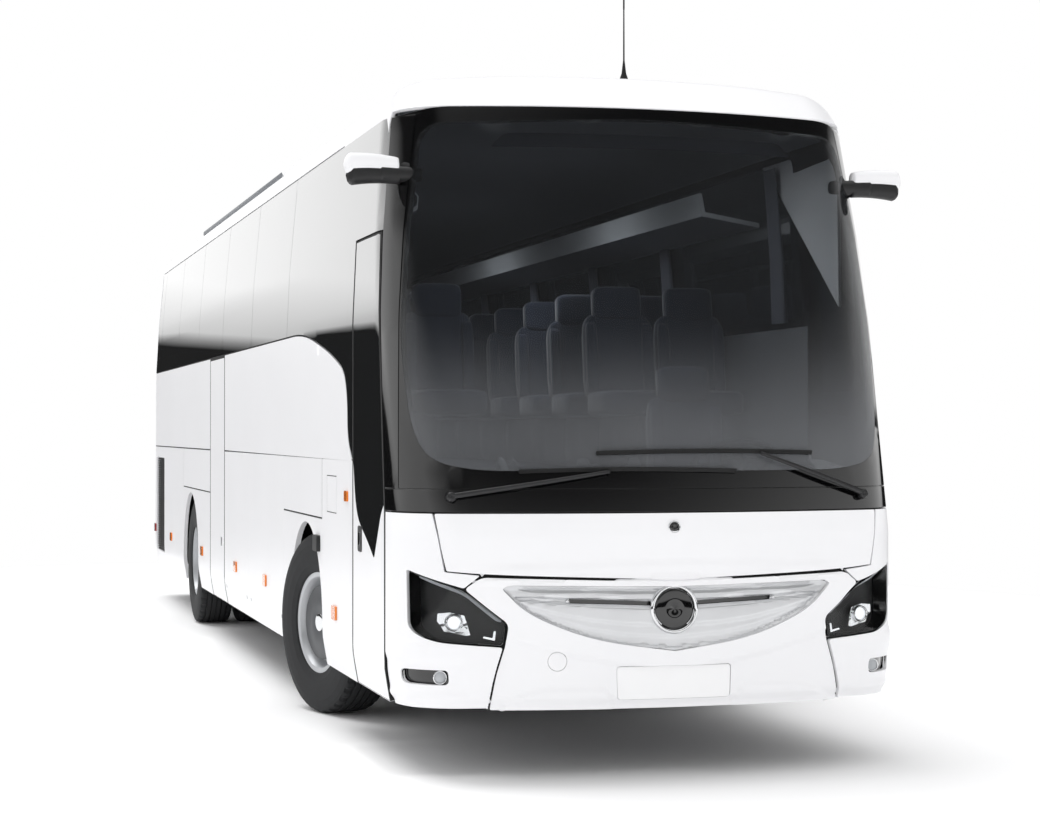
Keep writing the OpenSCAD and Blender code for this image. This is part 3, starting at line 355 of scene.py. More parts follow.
def piece(name, shapes, material, body="coach_body", replaces=(), thick=0.0, bevel=0.0,
          smooth=True, segments=2):
    """Joins (points, faces) shapes into one mesh, with a wall grown inwards and rounded edges."""
    points, faces, start = [], [], 0
    for some_points, some_faces in shapes:
        points.append(np.asarray(some_points, float))
        rows = some_faces.tolist() if isinstance(some_faces, np.ndarray) else some_faces
        faces += [[i + start for i in face] for face in rows]
        start += len(some_points)
    mesh = bpy.data.meshes.new(name)
    mesh.from_pydata(np.vstack(points).tolist(), [], faces)
    mesh.materials.append(material)
    mesh.update()
    obj = bpy.data.objects.new(name, mesh)
    scene.collection.objects.link(obj)
    if smooth:
        mesh.shade_smooth()
    if thick:
        wall = obj.modifiers.new("wall", "SOLIDIFY")
        wall.thickness = thick
        wall.offset = -1
        wall.use_even_offset = False
    if thick and not bevel:
        bevel, segments = min(0.001, thick * 0.3), 1
    if bevel:
        edge = obj.modifiers.new("edge", "BEVEL")
        edge.width = bevel
        edge.segments = segments
        edge.angle_limit = math.radians(50)
        edge.harden_normals = True
    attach(obj, body)
    if replaces:
        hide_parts(*replaces)
    return obj


def panel(place_points, outline, holes=(), step=0.06, depth=0.0, flip=False, push=None):
    """One sheet cut to an outline and laid on a surface; push moves points outwards by a height."""
    points, faces = cut_sheet(np.asarray(outline, float), [np.asarray(h, float) for h in holes], step)
    u, v = points.T
    height = push(u, v) if push else 0.0
    return place_points(u, v, depth - height), faces[:, ::-1] if flip else faces


def box_outline(u0, u1, v0, v1):
    """Four corners, counter-clockwise."""
    return np.array([[u0, v0], [u1, v0], [u1, v1], [u0, v1]])

white_enamel, tree, shader, place = coating("gloss_white_enamel", {
    "Roughness": 0.32, "IOR": 1.45, "Specular IOR Level": 0.2})
mottle(tree, shader, place, 0.9, "#EBEBED", "#F0F0F2")
relief(tree, shader, place, 0.05, 0.00006)
sealing_rubber, tree, shader, place = coating("black_sealing_rubber", {"Roughness": 0.75})
mottle(tree, shader, place, 0.03, "#0B0B0C", "#161617")
relief(tree, shader, place, 0.004, 0.0002)
side_lining, tree, shader, place = coating("grey_trim_board", {"Roughness": 0.8})
mottle(tree, shader, place, 0.05, "#77787C", "#8A8B8F")
relief(tree, shader, place, 0.003, 0.0003)

rear_seam_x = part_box("roof")[0].x
nose_x = front_x - 0.52
pillar_lean = math.tan(math.radians(9.2))
screen_z = 1.25
door_x0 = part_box("front_door")[0].x - 0.006
door_x1 = nose_x - 0.005
door_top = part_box("front_door")[1].z + 0.006
mid_x0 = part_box("mid_door")[0].x - 0.006
mid_x1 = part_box("mid_door")[1].x + 0.006
flap_x = [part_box(n)[1].x + 0.006 for n in ("luggage_flap_right_front", "luggage_flap_right_rear",
                                           "luggage_flap_left_rear")]
flap_x.append(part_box("luggage_flap_left_rear")[0].x - 0.006)
axle_f = 0.5 * (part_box("front_axle")[0].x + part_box("front_axle")[1].x)
axle_r = 0.5 * (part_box("rear_axle")[0].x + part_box("rear_axle")[1].x)
skirt_low = 0.335
panel_t = 0.03


def arch_points(x, radius, top, low):
    """The open edge of a wheel arch, from its front foot over the top to its rear foot."""
    angle = np.linspace(0, math.pi, 33)
    bow = np.stack([x + radius * np.cos(angle), top - radius + radius * np.sin(angle)], 1)
    return np.vstack([[[x + radius, low]], bow, [[x - radius, low]]])


def seam_line(x, z):
    """x of the seam behind the windscreen pillars at height z, for a seam that stands at x lower down."""
    return x - max(0.0, z - screen_z) * pillar_lean


g = gap
low_glass_x = axle_f - 0.18
arch_half = 0.57
arch_top = 1.105
service_x1 = axle_f + 0.553
service_z = 1.144
# Curved upper edge of the white panel behind the front pillar, from the waist up to the sill
curve = rounded([[low_glass_x - 1.2, sill_z], [low_glass_x + 0.1, sill_z], [low_glass_x + 0.986, 2.058],
                 [low_glass_x + 1.42, 1.952], [low_glass_x + 1.515, 1.80], [low_glass_x + 1.52, 1.60],
                 [door_x0 - 0.015, waist_z]], [0, 0.4, 0.3, 0.16, 0.09, 0.09, 0], 8)[1:]
small_flap = box_outline(axle_f + 0.715, axle_f + 1.014, 1.186, 1.389)
louvre = box_outline(rear_x + 0.3, rear_x + 1.04, 0.463, 1.371)
rear_service_x = axle_r - 0.575
for side, hand in ((-1, "right"), (1, "left")):
    put = on_side(side)
    flip = side > 0
    end_x = door_x0 if side < 0 else nose_x
    split_x = mid_x0 if side < 0 else flap_x[3]
    shapes = []
    # Panels between the waist and the glass
    belt_end = curve[::-1] - [[g, g]]
    first_x = mid_x1 if side < 0 else rear_seam_x
    front_belt = np.vstack([[[first_x + g, sill_z - g], [first_x + g, waist_z + g]], belt_end])
    shapes.append(panel(put, front_belt, flip=flip))
    if side < 0:
        shapes.append(panel(put, box_outline(rear_seam_x + g, mid_x0 - g, waist_z + g, sill_z - g),
                            flip=flip))
    # Panels behind the doors and flaps, over the rear wheels
    lower_rear = np.vstack([[[rear_seam_x + g, skirt_low]],
                            arch_points(axle_r, arch_half, arch_top, skirt_low)[::-1],
                            [[split_x - g, skirt_low], [split_x - g, service_z - g],
                             [rear_service_x - g, service_z - g], [rear_service_x - g, waist_z - g],
                             [rear_seam_x + g, waist_z - g]]])
    shapes.append(panel(put, lower_rear, [rounded(louvre, 0.03)], flip=flip))
    shapes.append(panel(put, box_outline(rear_service_x + g, split_x - g, service_z + g, waist_z - g),
                        flip=flip))
    # Panels round the front wheels, with a service flap over the arch and a small flap before it
    top_edge = ([[end_x - g, waist_z - g]] if side < 0 else
                [[seam_line(nose_x, 1.40) - g, 1.40 - g], [door_x0 + 0.1, waist_z - g]])
    front_low = np.vstack([[[flap_x[0] + g, skirt_low]],
                           arch_points(axle_f, arch_half, arch_top, skirt_low)[::-1],
                           [[end_x - g, skirt_low]], top_edge,
                           [[service_x1 + g, waist_z - g], [service_x1 + g, service_z - g],
                            [flap_x[0] + g, service_z - g]]])
    shapes.append(panel(put, front_low, [small_flap], flip=flip))
    shapes.append(panel(put, box_outline(flap_x[0] + g, service_x1 - g, service_z + g, waist_z - g),
                        flip=flip))
    shapes.append(panel(put, rounded(small_flap + [[g, g], [-g, g], [-g, -g], [g, -g]], 0.012), flip=flip))
    piece(f"side_panels_{hand}", shapes, white_enamel,
          replaces=[f"side_wall_{hand}"], thick=panel_t, bevel=0.0015)
    # Black sealing strips behind the gaps
    strips = []
    seams = [[[rear_seam_x, waist_z], [split_x, waist_z]], [[flap_x[0], waist_z], [door_x0 - 0.02, waist_z]],
             [[rear_service_x, service_z], [split_x, service_z]],
             [[rear_service_x, service_z], [rear_service_x, waist_z]],
             [[flap_x[0], service_z], [service_x1, service_z]],
             [[service_x1, service_z], [service_x1, waist_z]], [[rear_seam_x, sill_z], [low_glass_x, sill_z]]]
    for (x0, z0), (x1, z1) in seams:
        strips.append(panel(put, box_outline(x0 - 0.004, x1 + 0.004, z0 - 0.004, z1 + 0.004), depth=0.0008,
                            step=0.12, flip=flip))
    strips.append(panel(put, small_flap + [[-g, -g], [g, -g], [g, g], [-g, g]],
                        [small_flap + [[g, g], [-g, g], [-g, -g], [g, -g]]], depth=0.0008, flip=flip))
    for x0, x1, z1 in ([(door_x0 - 0.0048, door_x0 + 0.001, sill_z),
                        (mid_x0 - 0.0048, mid_x0 + 0.001, sill_z),
                        (mid_x1 - 0.001, mid_x1 + 0.0048, sill_z)] if side < 0 else []):
        strips.append(panel(put, box_outline(x0, x1, skirt_low, z1), depth=0.0006, step=0.12))
    piece(f"sealing_strips_{hand}", strips, sealing_rubber, thick=0.008)
    # Lining boards on the inside from the floor to the glass
    boards = [panel(put, box_outline(mid_x1 if side < 0 else rear_seam_x, door_x0 - 0.56, 1.405, sill_z),
                    depth=0.032, step=0.12, flip=flip),
              panel(put, box_outline(door_x0 - 0.56, door_x0, 0.905, sill_z), depth=0.032, step=0.12,
                    flip=flip)]
    if side < 0:
        boards.append(panel(put, box_outline(rear_seam_x, mid_x0, 1.405, sill_z), depth=0.032, step=0.12,
                            flip=flip))
    else:
        boards.append(panel(put, box_outline(door_x0, nose_x - 0.2, 0.905, 1.40), depth=0.032, step=0.12,
                            flip=flip))
    piece(f"lining_boards_{hand}", boards, side_lining, thick=0.012)

# ---- Luggage flaps ----
# Top-hinged aluminium flaps in white enamel, each one sheet folded over a frame with a rubber lip.
# They hang on the continuous hinge at the waist and close flush with the side panels.
for node, body, side in (("luggage_flap_right_front", "flap_right_front", -1),
                         ("luggage_flap_right_rear", "flap_right_rear", -1),
                         ("luggage_flap_left_front", "flap_left_front", 1),
                         ("luggage_flap_left_mid", "flap_left_mid", 1),
                         ("luggage_flap_left_rear", "flap_left_rear", 1)):
    low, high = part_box(node)
    x0, x1 = low.x - 0.003, high.x + 0.003
    put = on_side(side)
    outer = panel(put, box_outline(x0, x1, skirt_low, waist_z - 0.005), flip=side > 0)
    piece(f"{node}_skin", [outer], white_enamel, body, [node], 0.022, 0.0025)
    inner = panel(put, box_outline(x0 - 0.0015, x1 + 0.0015, skirt_low + 0.004, waist_z - 0.012),
                  depth=0.0225, step=0.12, flip=side > 0)
    piece(f"{node}_frame", [inner], sealing_rubber, body, thick=0.02)

# ---- Side windows ----
# Dark tinted safety glass, bonded flush over black-painted pillars that are cut open behind each pane.
# Behind the front pillar the glass sweeps down as a black-printed panel.
dark_glass, tree, shader, place = coating("dark_tinted_glass", {
    "Transmission Weight": 0.75, "IOR": 1.62, "Roughness": 0.0, "Coat Weight": 1.0, "Coat Roughness": 0.0,
    "Coat IOR": 1.6})
mottle(tree, shader, place, 1.5, "#23272A", "#2A2E31")
printed_black, tree, shader, place = coating("black_printed_glass", {
    "Roughness": 0.06, "Coat Weight": 0.6, "Coat Roughness": 0.02})
mottle(tree, shader, place, 0.6, "#050506", "#0A0A0B")

pane_r = 0.003
pane_edge = [axle_f - 0.74 - 1.61 * i for i in range(6)] + [rear_seam_x + 0.012]
glass_top = roof_seam_z - 0.004
frame_w = 0.055
for side, hand in ((-1, "right"), (1, "left")):
    put = on_side(side)
    flip = side > 0
    panes, holes = [], []
    for x1, x0 in zip(pane_edge[:-1], pane_edge[1:]):
        panes.append(panel(put, box_outline(x0 + pane_r, x1 - pane_r, sill_z + g, glass_top), flip=flip,
                           step=0.08))
        if x1 - x0 > 0.4:
            holes.append(rounded(box_outline(x0 + frame_w, x1 - frame_w, sill_z + 0.05, glass_top - 0.05),
                                 0.05))
    top_x = seam_line(nose_x, glass_top) - 0.004
    sweep = curve[curve[:, 1] > waist_z + 0.005]
    # First pane: along the sill, down the sweep, then round the doorway or along the driver's sill
    if side < 0:
        end = [[door_x0 - g, waist_z + 0.01], [door_x0 - g, door_top + g],
               [seam_line(door_x1, door_top) + g, door_top + g], [seam_line(nose_x, door_top), door_top + g],
               [top_x, glass_top]]
        clear_x1 = door_x0 - 0.07
    else:
        end = [[door_x0 + 0.1, waist_z + g], [seam_line(nose_x, 1.40) - g, 1.40 + g], [top_x, glass_top]]
        clear_x1 = door_x0 - 0.07
        holes.append(rounded([[door_x0 + 0.03, 1.72], [nose_x - 0.30, 1.66], [nose_x - 0.50, 2.95],
                              [door_x0 + 0.03, 2.95]], 0.07))
    first = np.vstack([[[pane_edge[0] + pane_r, glass_top], [pane_edge[0] + pane_r, sill_z + g]],
                       sweep + [[g, g]], end])
    panes.append(panel(put, first, flip=flip, step=0.05))
    holes.append(rounded(box_outline(pane_edge[0] + frame_w, clear_x1, sill_z + 0.05, glass_top - 0.05),
                         0.05))
    piece(f"side_glass_{hand}", panes, dark_glass,
          replaces=["windows"] if side < 0 else (), thick=0.005)
    frame_line = first * 1.0
    frame_line[:2, 0] = rear_seam_x + 0.02
    piece(f"window_frame_{hand}", [panel(put, frame_line, holes, depth=0.0062, flip=flip, step=0.08)],
          printed_black, thick=0.034, bevel=0.003)

# ---- Curtains ----
# Pleated grey polyester gathered on a rail at every window pillar, hung from rings under the racks.
curtain_cloth, tree, shader, place = coating("pleated_polyester", {"Roughness": 0.85, "Sheen Weight": 0.3})
mottle(tree, shader, place, 0.02, "#6E7079", "#83858F")
weave = add(tree, "ShaderNodeTexWave", {"Scale": 250.0, "bands_direction": "Z"}, [("Vector", place)])
bump = add(tree, "ShaderNodeBump", {"Distance": 0.0002}, [("Height", weave.outputs["Fac"])])
tree.links.new(bump.outputs["Normal"], shader.inputs["Normal"])


def curtain(x, side):
    """A gathered cloth: a wave of folds along x that grows from the rail to the hem."""
    u, v = np.meshgrid(np.linspace(0, 1, 97), np.linspace(0, 1, 25))
    depth = 0.010 + 0.008 * v
    width = 0.16 + 0.02 * v
    px = x + (u - 0.5) * width
    pz = roof_seam_z - 0.09 - v * (roof_seam_z - 0.09 - sill_z - 0.03)
    py = side * (side_half(px, pz) - 0.075 + depth * np.sin(u * 2 * math.pi * 8))
    return px, py, pz


def grid(px, py, pz, flip=False, closed_u=False, closed_v=False):
    """Quads over a grid of points; closed_u and closed_v join the last column or row to the first."""
    rows, columns = px.shape
    index = np.arange(rows * columns).reshape(rows, columns)
    if closed_u:
        index = np.hstack([index, index[:, :1]])
    if closed_v:
        index = np.vstack([index, index[:1]])
    quads = np.stack([index[:-1, :-1], index[:-1, 1:], index[1:, 1:], index[1:, :-1]], -1).reshape(-1, 4)
    return np.stack([px, py, pz], -1).reshape(-1, 3), quads[:, ::-1] if flip else quads


for side, hand in ((-1, "right"), (1, "left")):
    for i, x in enumerate([pane_edge[0] + 1.9, *pane_edge[:-1]]):
        cloth_points = curtain(x, side)
        cloth = piece(f"curtain_{hand}_{i}", [grid(*cloth_points, flip=side > 0)], curtain_cloth)

# ---- Front passenger door ----
# A one-piece plug leaf in white enamel with a bonded glass that runs from its top down to a slanting spike.
# It is carried by two arms on a turning post; a rubber lip closes its edge.
def shrink(outline, amount):
    """Moves an outline inwards by about that amount, measured along its edges' normals."""
    outline = np.asarray(outline, float)
    along = np.roll(outline, -1, 0) - np.roll(outline, 1, 0)
    normal = np.stack([-along[:, 1], along[:, 0]], 1)
    area = np.sum(outline[:, 0] * np.roll(outline[:, 1], -1) - np.roll(outline[:, 0], -1) * outline[:, 1])
    return outline + normal / np.linalg.norm(normal, axis=1)[:, None] * amount * np.sign(area)


put = on_side(-1)
door_low = 0.337
spike = rounded([[door_x0 + 0.024, 1.47], [door_x0 + 0.10, 1.20], [door_x1 - 0.45, 1.085],
                 [door_x1 - 0.275, 1.005], [door_x1 - 0.10, 1.235], [door_x1 - 0.018, 1.285]],
                [0, 0.14, 0.10, 0.02, 0.05, 0])
lower_leaf = np.vstack([[[door_x0 + 0.024, door_low], [door_x1 - 0.018, door_low]], spike[::-1]])
piece("front_door_panel", [panel(put, lower_leaf, step=0.04)], white_enamel, "front_door",
      ["front_door"], 0.035, 0.0015)
upper_frame = np.vstack([spike, [[seam_line(door_x1, door_top) - 0.006, door_top - 0.006],
                                 [door_x0 + 0.024, door_top - 0.006]]])
clear_door = rounded([[door_x0 + 0.11, 1.48], [door_x1 - 0.19, 1.48], [door_x1 - 0.34, door_top - 0.14],
                      [door_x0 + 0.11, door_top - 0.14]], 0.06)
piece("front_door_frame", [panel(put, upper_frame, [clear_door], step=0.06, depth=0.0065)], printed_black,
      "front_door", thick=0.034, bevel=0.003)
inset = upper_frame + (upper_frame.mean(0) - upper_frame) * 0.004
piece("front_door_pane", [panel(put, inset, step=0.05)], dark_glass, "front_door",
      ["front_door_glass"], 0.005)
lip = np.array([[door_x0 + 0.002, door_low + 0.004], [door_x1 - 0.002, door_low + 0.004],
                [door_x1 - 0.002, screen_z], [seam_line(door_x1, door_top) - 0.002, door_top - 0.002],
                [door_x0 + 0.002, door_top - 0.002]])
inner_edge = shrink(lip, 0.024)
inner_edge[:2, 1] = door_low + 0.006
piece("front_door_lip", [panel(put, lip, [inner_edge], depth=-0.0004, step=0.08)], sealing_rubber,
      "front_door", thick=0.024)

# ---- Middle passenger door ----
# A plain white leaf of the same make with a rubber lip all round, held at its rear edge by two arms.
mid_edge = box_outline(mid_x0 + 0.026, mid_x1 - 0.026, door_low, sill_z - 0.022)
piece("mid_door_panel", [panel(put, rounded(mid_edge, 0.02))], white_enamel, "mid_door",
      ["mid_door"], 0.028, 0.0015)
mid_lip = box_outline(mid_x0 + 0.002, mid_x1 - 0.002, door_low + 0.004, sill_z - 0.002)
mid_hole = box_outline(mid_x0 + 0.025, mid_x1 - 0.025, door_low + 0.006, sill_z - 0.021)
piece("mid_door_lip", [panel(put, mid_lip, [mid_hole], depth=-0.0004, step=0.1)], sealing_rubber, "mid_door",
      thick=0.03)
ears = []
for ear_z in (0.56, 1.75):
    for leaf, ear_x in (("front_door", door_x1 - 0.683), ("mid_door", mid_x0 + 0.602)):
        lug = box_outline(ear_x - 0.03, ear_x + 0.03, -half_w + 0.028, -half_w + 0.122)
        low = np.column_stack([rounded(lug, 0.015), np.full(len(rounded(lug, 0.015)), ear_z + 0.019)])
        n = len(low)
        points = np.vstack([low, low + [0, 0, 0.02]])
        sides = [[i, (i + 1) % n, (i + 1) % n + n, i + n] for i in range(n)]
        ears.append((leaf, points, [list(range(n))[::-1], list(range(n, 2 * n)), *sides]))
for leaf in ("front_door", "mid_door"):
    piece(leaf + "_ears", [(points, faces) for name, points, faces in ears if name == leaf], chassis_paint,
          leaf, bevel=0.002)

# ---- Roof ----
# One glass-fibre shell in white over bows, with rounded edges down to the side glass.
# It is bonded to the side frames; a light headliner closes it from below.
roof_x1 = seam_line(nose_x, roof_seam_z)


def blend_low(a, b, sharp=45.0):
    """The lower of two heights, with the crease between them rounded."""
    return a - np.logaddexp(0, sharp * (a - b)) / sharp


def tail_cap(x):
    """Height at which the rear's leaning top closes the roof."""
    return np.interp(x - rear_x, [0.0, 0.1, 0.17, 1.2, 1.6], [3.0, roof_seam_z, 3.325, 3.401, 3.9])


def plan_at(s):
    """The front seen from above: x behind the apex and y at arc length s from the middle."""
    a = np.abs(s)
    bow = a <= bow_s
    turn_a = bow_angle + np.clip((a - bow_s) / corner_r, 0, math.pi / 2 - bow_angle)
    x = np.where(bow, bow_r * np.cos(np.minimum(a, bow_s) / bow_r) - bow_r,
                 corner_x + corner_r * np.cos(turn_a)) - np.maximum(a - corner_s, 0)
    y = np.where(bow, bow_r * np.sin(np.minimum(a, bow_s) / bow_r), corner_y + corner_r * np.sin(turn_a))
    return x, np.sign(s) * y


def s_of(y):
    """Arc length along the front's plan for a half width seen from the front."""
    a = np.abs(y)
    corner = bow_s + corner_r * (np.arcsin(np.clip((a - corner_y) / corner_r, -1, 1)) - bow_angle)
    return np.sign(y) * np.where(a <= bow_half, bow_r * np.arcsin(np.minimum(a, bow_half) / bow_r), corner)


plan_s = np.linspace(0, corner_s + 1, 600)
plan_x, plan_y = plan_at(plan_s)


def nose_cap(x, y):
    """Height at which the leaning header closes the roof at x and y."""
    setback = np.interp(np.abs(y) / half_at(3.2) * half_w, plan_y, -plan_x)
    return 3.213 + (front_x - x - setback - 0.4674) / 1.235


roof_t = arc_t[(section_h > roof_seam_z + 0.003) | (arc_t > top_t)]
roof_t = roof_t[roof_t < 2 * top_t - roof_t[0]]
across = np.concatenate([np.linspace(roof_t[0], roof_t[0] + 0.5, 40), np.linspace(roof_t[0] + 0.55,
                        roof_t[-1] - 0.55, 30), np.linspace(roof_t[-1] - 0.5, roof_t[-1], 40)])
along = np.concatenate([np.linspace(rear_seam_x + g, rear_seam_x + 1.6, 40),
                        np.linspace(rear_seam_x + 1.8, roof_x1 - 0.5, 40),
                        np.linspace(roof_x1 - 0.45, roof_x1 - g, 16)])
px, t = np.meshgrid(along, across)
py = np.interp(t, arc_t, section_y)
pz = np.interp(t, arc_t, section_h)
shell_z = np.minimum(blend_low(pz, tail_cap(px)), blend_low(pz, nose_cap(px, py)))
piece("roof_shell", [grid(px, py, shell_z, flip=True)], white_enamel, replaces=["roof"],
      thick=0.02, bevel=0.002)
px, t = np.meshgrid(np.linspace(rear_seam_x, roof_x1 - 0.03, 60),
                    np.linspace(roof_t[0] + 0.02, roof_t[-1] - 0.02, 60))
py = np.interp(t, arc_t, section_y) * 0.96
pz = np.minimum(np.interp(t, arc_t, section_h), tail_cap(px)) - 0.05
headliner, tree, shader, place = coating("needled_felt_headliner", {"Roughness": 0.95})
mottle(tree, shader, place, 0.01, "#8E9096", "#A3A5AA")
relief(tree, shader, place, 0.004, 0.0004)
piece("headliner", [grid(px, py, pz)], headliner, thick=0.008)

# ---- Roof header ----
# White glass-fibre cap over the windscreen, moulded as one dome with the roof's front edge.
# It is bonded to the roof and overhangs the glass by a narrow lip.
header_s = float(np.interp(-(roof_x1 - front_x + 0.4674 * 0.985), -plan_x, plan_s))


def header_point(s, q):
    """From the lip round the front (q = 0) to one point on the roof's middle (q = 1)."""
    ex, ey = plan_at(s)
    lip_x = front_x - 0.4674 + ex
    lip_y = ey / half_w * half_at(roof_seam_z + 0.004)
    x = lip_x + (roof_x1 + g - lip_x) * q
    y = lip_y * (1 - q)
    roof = roof_at(y)
    return x, y, blend_low(roof, nose_cap(x, y), 60.0)


q, s = np.meshgrid(np.linspace(0, 1, 60)[:-1] ** 1.6, np.linspace(-header_s, header_s, 161))
px, py, pz = header_point(s, q)
cap_points, cap_faces = grid(px, py, pz)
tip = len(cap_points)
ring = np.arange(161) * 59 + 58
fan = [[int(a), int(b), tip] for a, b in zip(ring[:-1], ring[1:])]
centre = header_point(np.array([0.0]), np.array([1.0]))
cap_points = np.vstack([cap_points, np.stack(centre, -1)])
piece("header_cap", [(cap_points, [list(map(int, f)) for f in cap_faces[:, ::-1]] + fan)], white_enamel,
      replaces=["front_header"], thick=0.02, bevel=0.002)

# ---- Rear ----
# Moulded rear panel in white enamel with a bonded window, an engine lid on a top hinge and red lamps.
# The panel is one shell round both corners; the lid closes flush in it.
rear_bow = half_w - tail_r
rear_corner_s = rear_bow + tail_r * math.pi / 2


def on_rear(u, v, depth):
    """Maps arc length round the rear and height onto the rear surface; u runs towards the right side."""
    a = np.abs(u)
    turn_a = np.clip((a - rear_bow) / tail_r, 0, math.pi / 2)
    x = tail_r * (1 - np.cos(turn_a)) + np.maximum(a - rear_corner_s, 0)
    y = np.where(a <= rear_bow, a, rear_bow + tail_r * np.sin(turn_a))
    nx, ny = np.cos(turn_a), np.sin(turn_a)
    scale = half_at(v) / half_w
    return np.stack([rear_x + np.interp(v, tail_z, tail_x) + x + depth * nx,
                     -np.sign(u) * (y * scale - depth * ny), v], 1)


lid_low, lid_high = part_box("engine_lid")
lid_y = lid_high.y + 0.006
lid_z0 = lid_low.z - 0.006
lid_z1 = 1.5
rear_z = np.linspace(0.36, 3.32, 40)
tail_at_z = np.interp(rear_z, tail_z, tail_x)
edge_u = rear_corner_s + np.maximum(0, (rear_seam_x - rear_x) - tail_at_z - tail_r) - g
rear_line = np.vstack([np.stack([-edge_u, rear_z], 1), np.stack([edge_u, rear_z], 1)[::-1]])
lamp_u0, lamp_u1 = lid_y + 0.045, lid_y + 0.195
window_line = rounded(box_outline(-0.945, 0.945, sill_z, roof_seam_z - 0.13), 0.10)
lid_line = rounded(box_outline(-lid_y, lid_y, lid_z0, lid_z1 - 0.008), 0.05)
lamp_lines = [rounded(box_outline(*sorted((k * lamp_u0, k * lamp_u1)), 0.64, 1.28), 0.03) for k in (-1, 1)]
piece("rear_shell", [panel(on_rear, rear_line[::-1], [window_line, lid_line, *lamp_lines], step=0.05)],
      white_enamel, replaces=["rear_panel"], thick=0.025, bevel=0.0025)


def lid_relief(u, v):
    """Two shallow pressed ribs across the lid."""
    return -0.006 * (np.exp(-((v - 0.82) / 0.02) ** 2)
                     + np.exp(-((v - 1.22) / 0.02) ** 2)) * (np.abs(u) < 0.9)


piece("engine_lid_skin", [panel(on_rear, shrink(lid_line, 0.006), step=0.03, push=lid_relief)], white_enamel,
      "engine_lid", ["engine_lid"], 0.028, 0.0025)
piece("engine_lid_lip", [panel(on_rear, shrink(lid_line, 0.002), [shrink(lid_line, 0.06)], depth=0.01)],
      sealing_rubber, "engine_lid", thick=0.022)
piece("rear_window_glass", [panel(on_rear, shrink(window_line, 0.003), step=0.06)], dark_glass,
      thick=0.005)
piece("rear_window_frame", [panel(on_rear, shrink(window_line, 0.001), [shrink(window_line, 0.06)],
                                  depth=0.006)],
      printed_black, thick=0.025)
tail_red, tree, shader, place = coating("red_acrylic_lens", {
    "Roughness": 0.08, "Coat Weight": 0.7, "Coat Roughness": 0.03, "Subsurface Weight": 0.0})
lens_wave = add(tree, "ShaderNodeTexWave", {"Scale": 60.0, "bands_direction": "Z"}, [("Vector", place)])
mix = add(tree, "ShaderNodeMix", {"data_type": "RGBA", 6: srgb("#7A0508"), 7: srgb("#A50C10")},
          [(0, lens_wave.outputs["Fac"])])
tree.links.new(mix.outputs[2], shader.inputs["Base Color"])
bump = add(tree, "ShaderNodeBump", {"Distance": 0.001}, [("Height", lens_wave.outputs["Fac"])])
tree.links.new(bump.outputs["Normal"], shader.inputs["Normal"])
orange_lens, tree, shader, place = coating("amber_acrylic_lens", {
    "Roughness": 0.1, "Coat Weight": 0.7, "Coat Roughness": 0.03})
mottle(tree, shader, place, 0.008, "#D96A10", "#F08A1E")
relief(tree, shader, place, 0.004, 0.0006, "ShaderNodeTexVoronoi")
lamp_rows = []
for k, line in zip((-1, 1), lamp_lines):
    line_in = shrink(line, 0.003)
    lamp_rows.append(panel(on_rear, line_in, step=0.02,
                           push=lambda u, v: 0.004 * np.cos((v - 0.64) / 0.213 * 6.283)))
piece("tail_lamp_lenses", lamp_rows, tail_red, replaces=["tail_lamps"], thick=0.03,
      bevel=0.002)
amber_rows = []
for k in (-1, 1):
    amber_u = sorted((k * (lamp_u0 + 0.012), k * (lamp_u1 - 0.012)))
    amber_line = rounded(box_outline(*amber_u, 1.145, 1.145 + 0.10), 0.02)
    amber_rows.append(panel(on_rear, amber_line, step=0.02, depth=-0.0045))
piece("tail_indicators", amber_rows, orange_lens, thick=0.006, bevel=0.0015)

# ---- Windscreen and its black surround ----
# Laminated glass bonded over a wide black-printed border; the panel under it and the pillars are gloss black.
# The glass is lightly tinted, and a grey haze that thickens towards its lower edge is painted light: it stands
# in for the lit dashboard seen through the glass.
def nose_point(s, z, depth):
    """Maps arc length round the front (positive to the left) and height onto the nose."""
    ex, ey = plan_at(s)
    a = np.abs(s)
    turn_a = np.where(a <= bow_s, a / bow_r, bow_angle + np.clip((a - bow_s) / corner_r, 0,
                                                                 math.pi / 2 - bow_angle))
    scale = half_at(z) / half_w
    x = front_x - np.interp(z, back_z, back_x) + ex - depth * np.cos(turn_a)
    return np.stack([x, ey * scale - np.sign(s) * depth * np.sin(turn_a), z], 1)


def on_front(y, z, depth):
    """Maps a front view position (y, z) onto the nose."""
    return nose_point(s_of(y), z, depth)


def nose_edge(z, ahead=0.0):
    """Arc length at which the nose meets the seam behind the pillars, moved ahead of it by a distance."""
    z = np.asarray(z, float)
    leaned = np.maximum(z - screen_z, 0) * pillar_lean
    plan = (nose_x + ahead - leaned) - front_x + np.interp(z, back_z, back_x)
    return np.interp(-plan, -plan_x, plan_s)


def lip_z(s):
    """Height of the header's lower edge: a little lower at the sides."""
    t = np.clip((np.abs(s) - bow_s) / (header_s - bow_s), 0, 1)
    return 3.213 - (3.213 - roof_seam_z - 0.004) * t * t * (3 - 2 * t)


def nose_band(z0, ahead, top_drop, top_z=None, count=40):
    """Outline in (s, z) of a band right round the nose, from z0 up to the header or to top_z."""
    z = np.linspace(z0, (roof_seam_z if top_z is None else top_z) - top_drop, count)
    edge_s = nose_edge(z, ahead)
    right = np.stack([edge_s, z], 1)
    if top_z is None:
        s = np.linspace(edge_s[-1], -edge_s[-1], 60)[1:-1]
        crown = np.stack([s, lip_z(s) - top_drop], 1)
    else:
        crown = np.empty((0, 2))
    return np.vstack([right, crown, (right * [-1, 1])[::-1]])


def mirror_half(half):
    """Closes a half outline, given from the middle outwards and back, with its mirror image."""
    half = np.asarray(half, float)
    other = half[::-1] * [-1, 1]
    return np.vstack([half, other[np.abs(other[:, 0]) > 1e-9]])


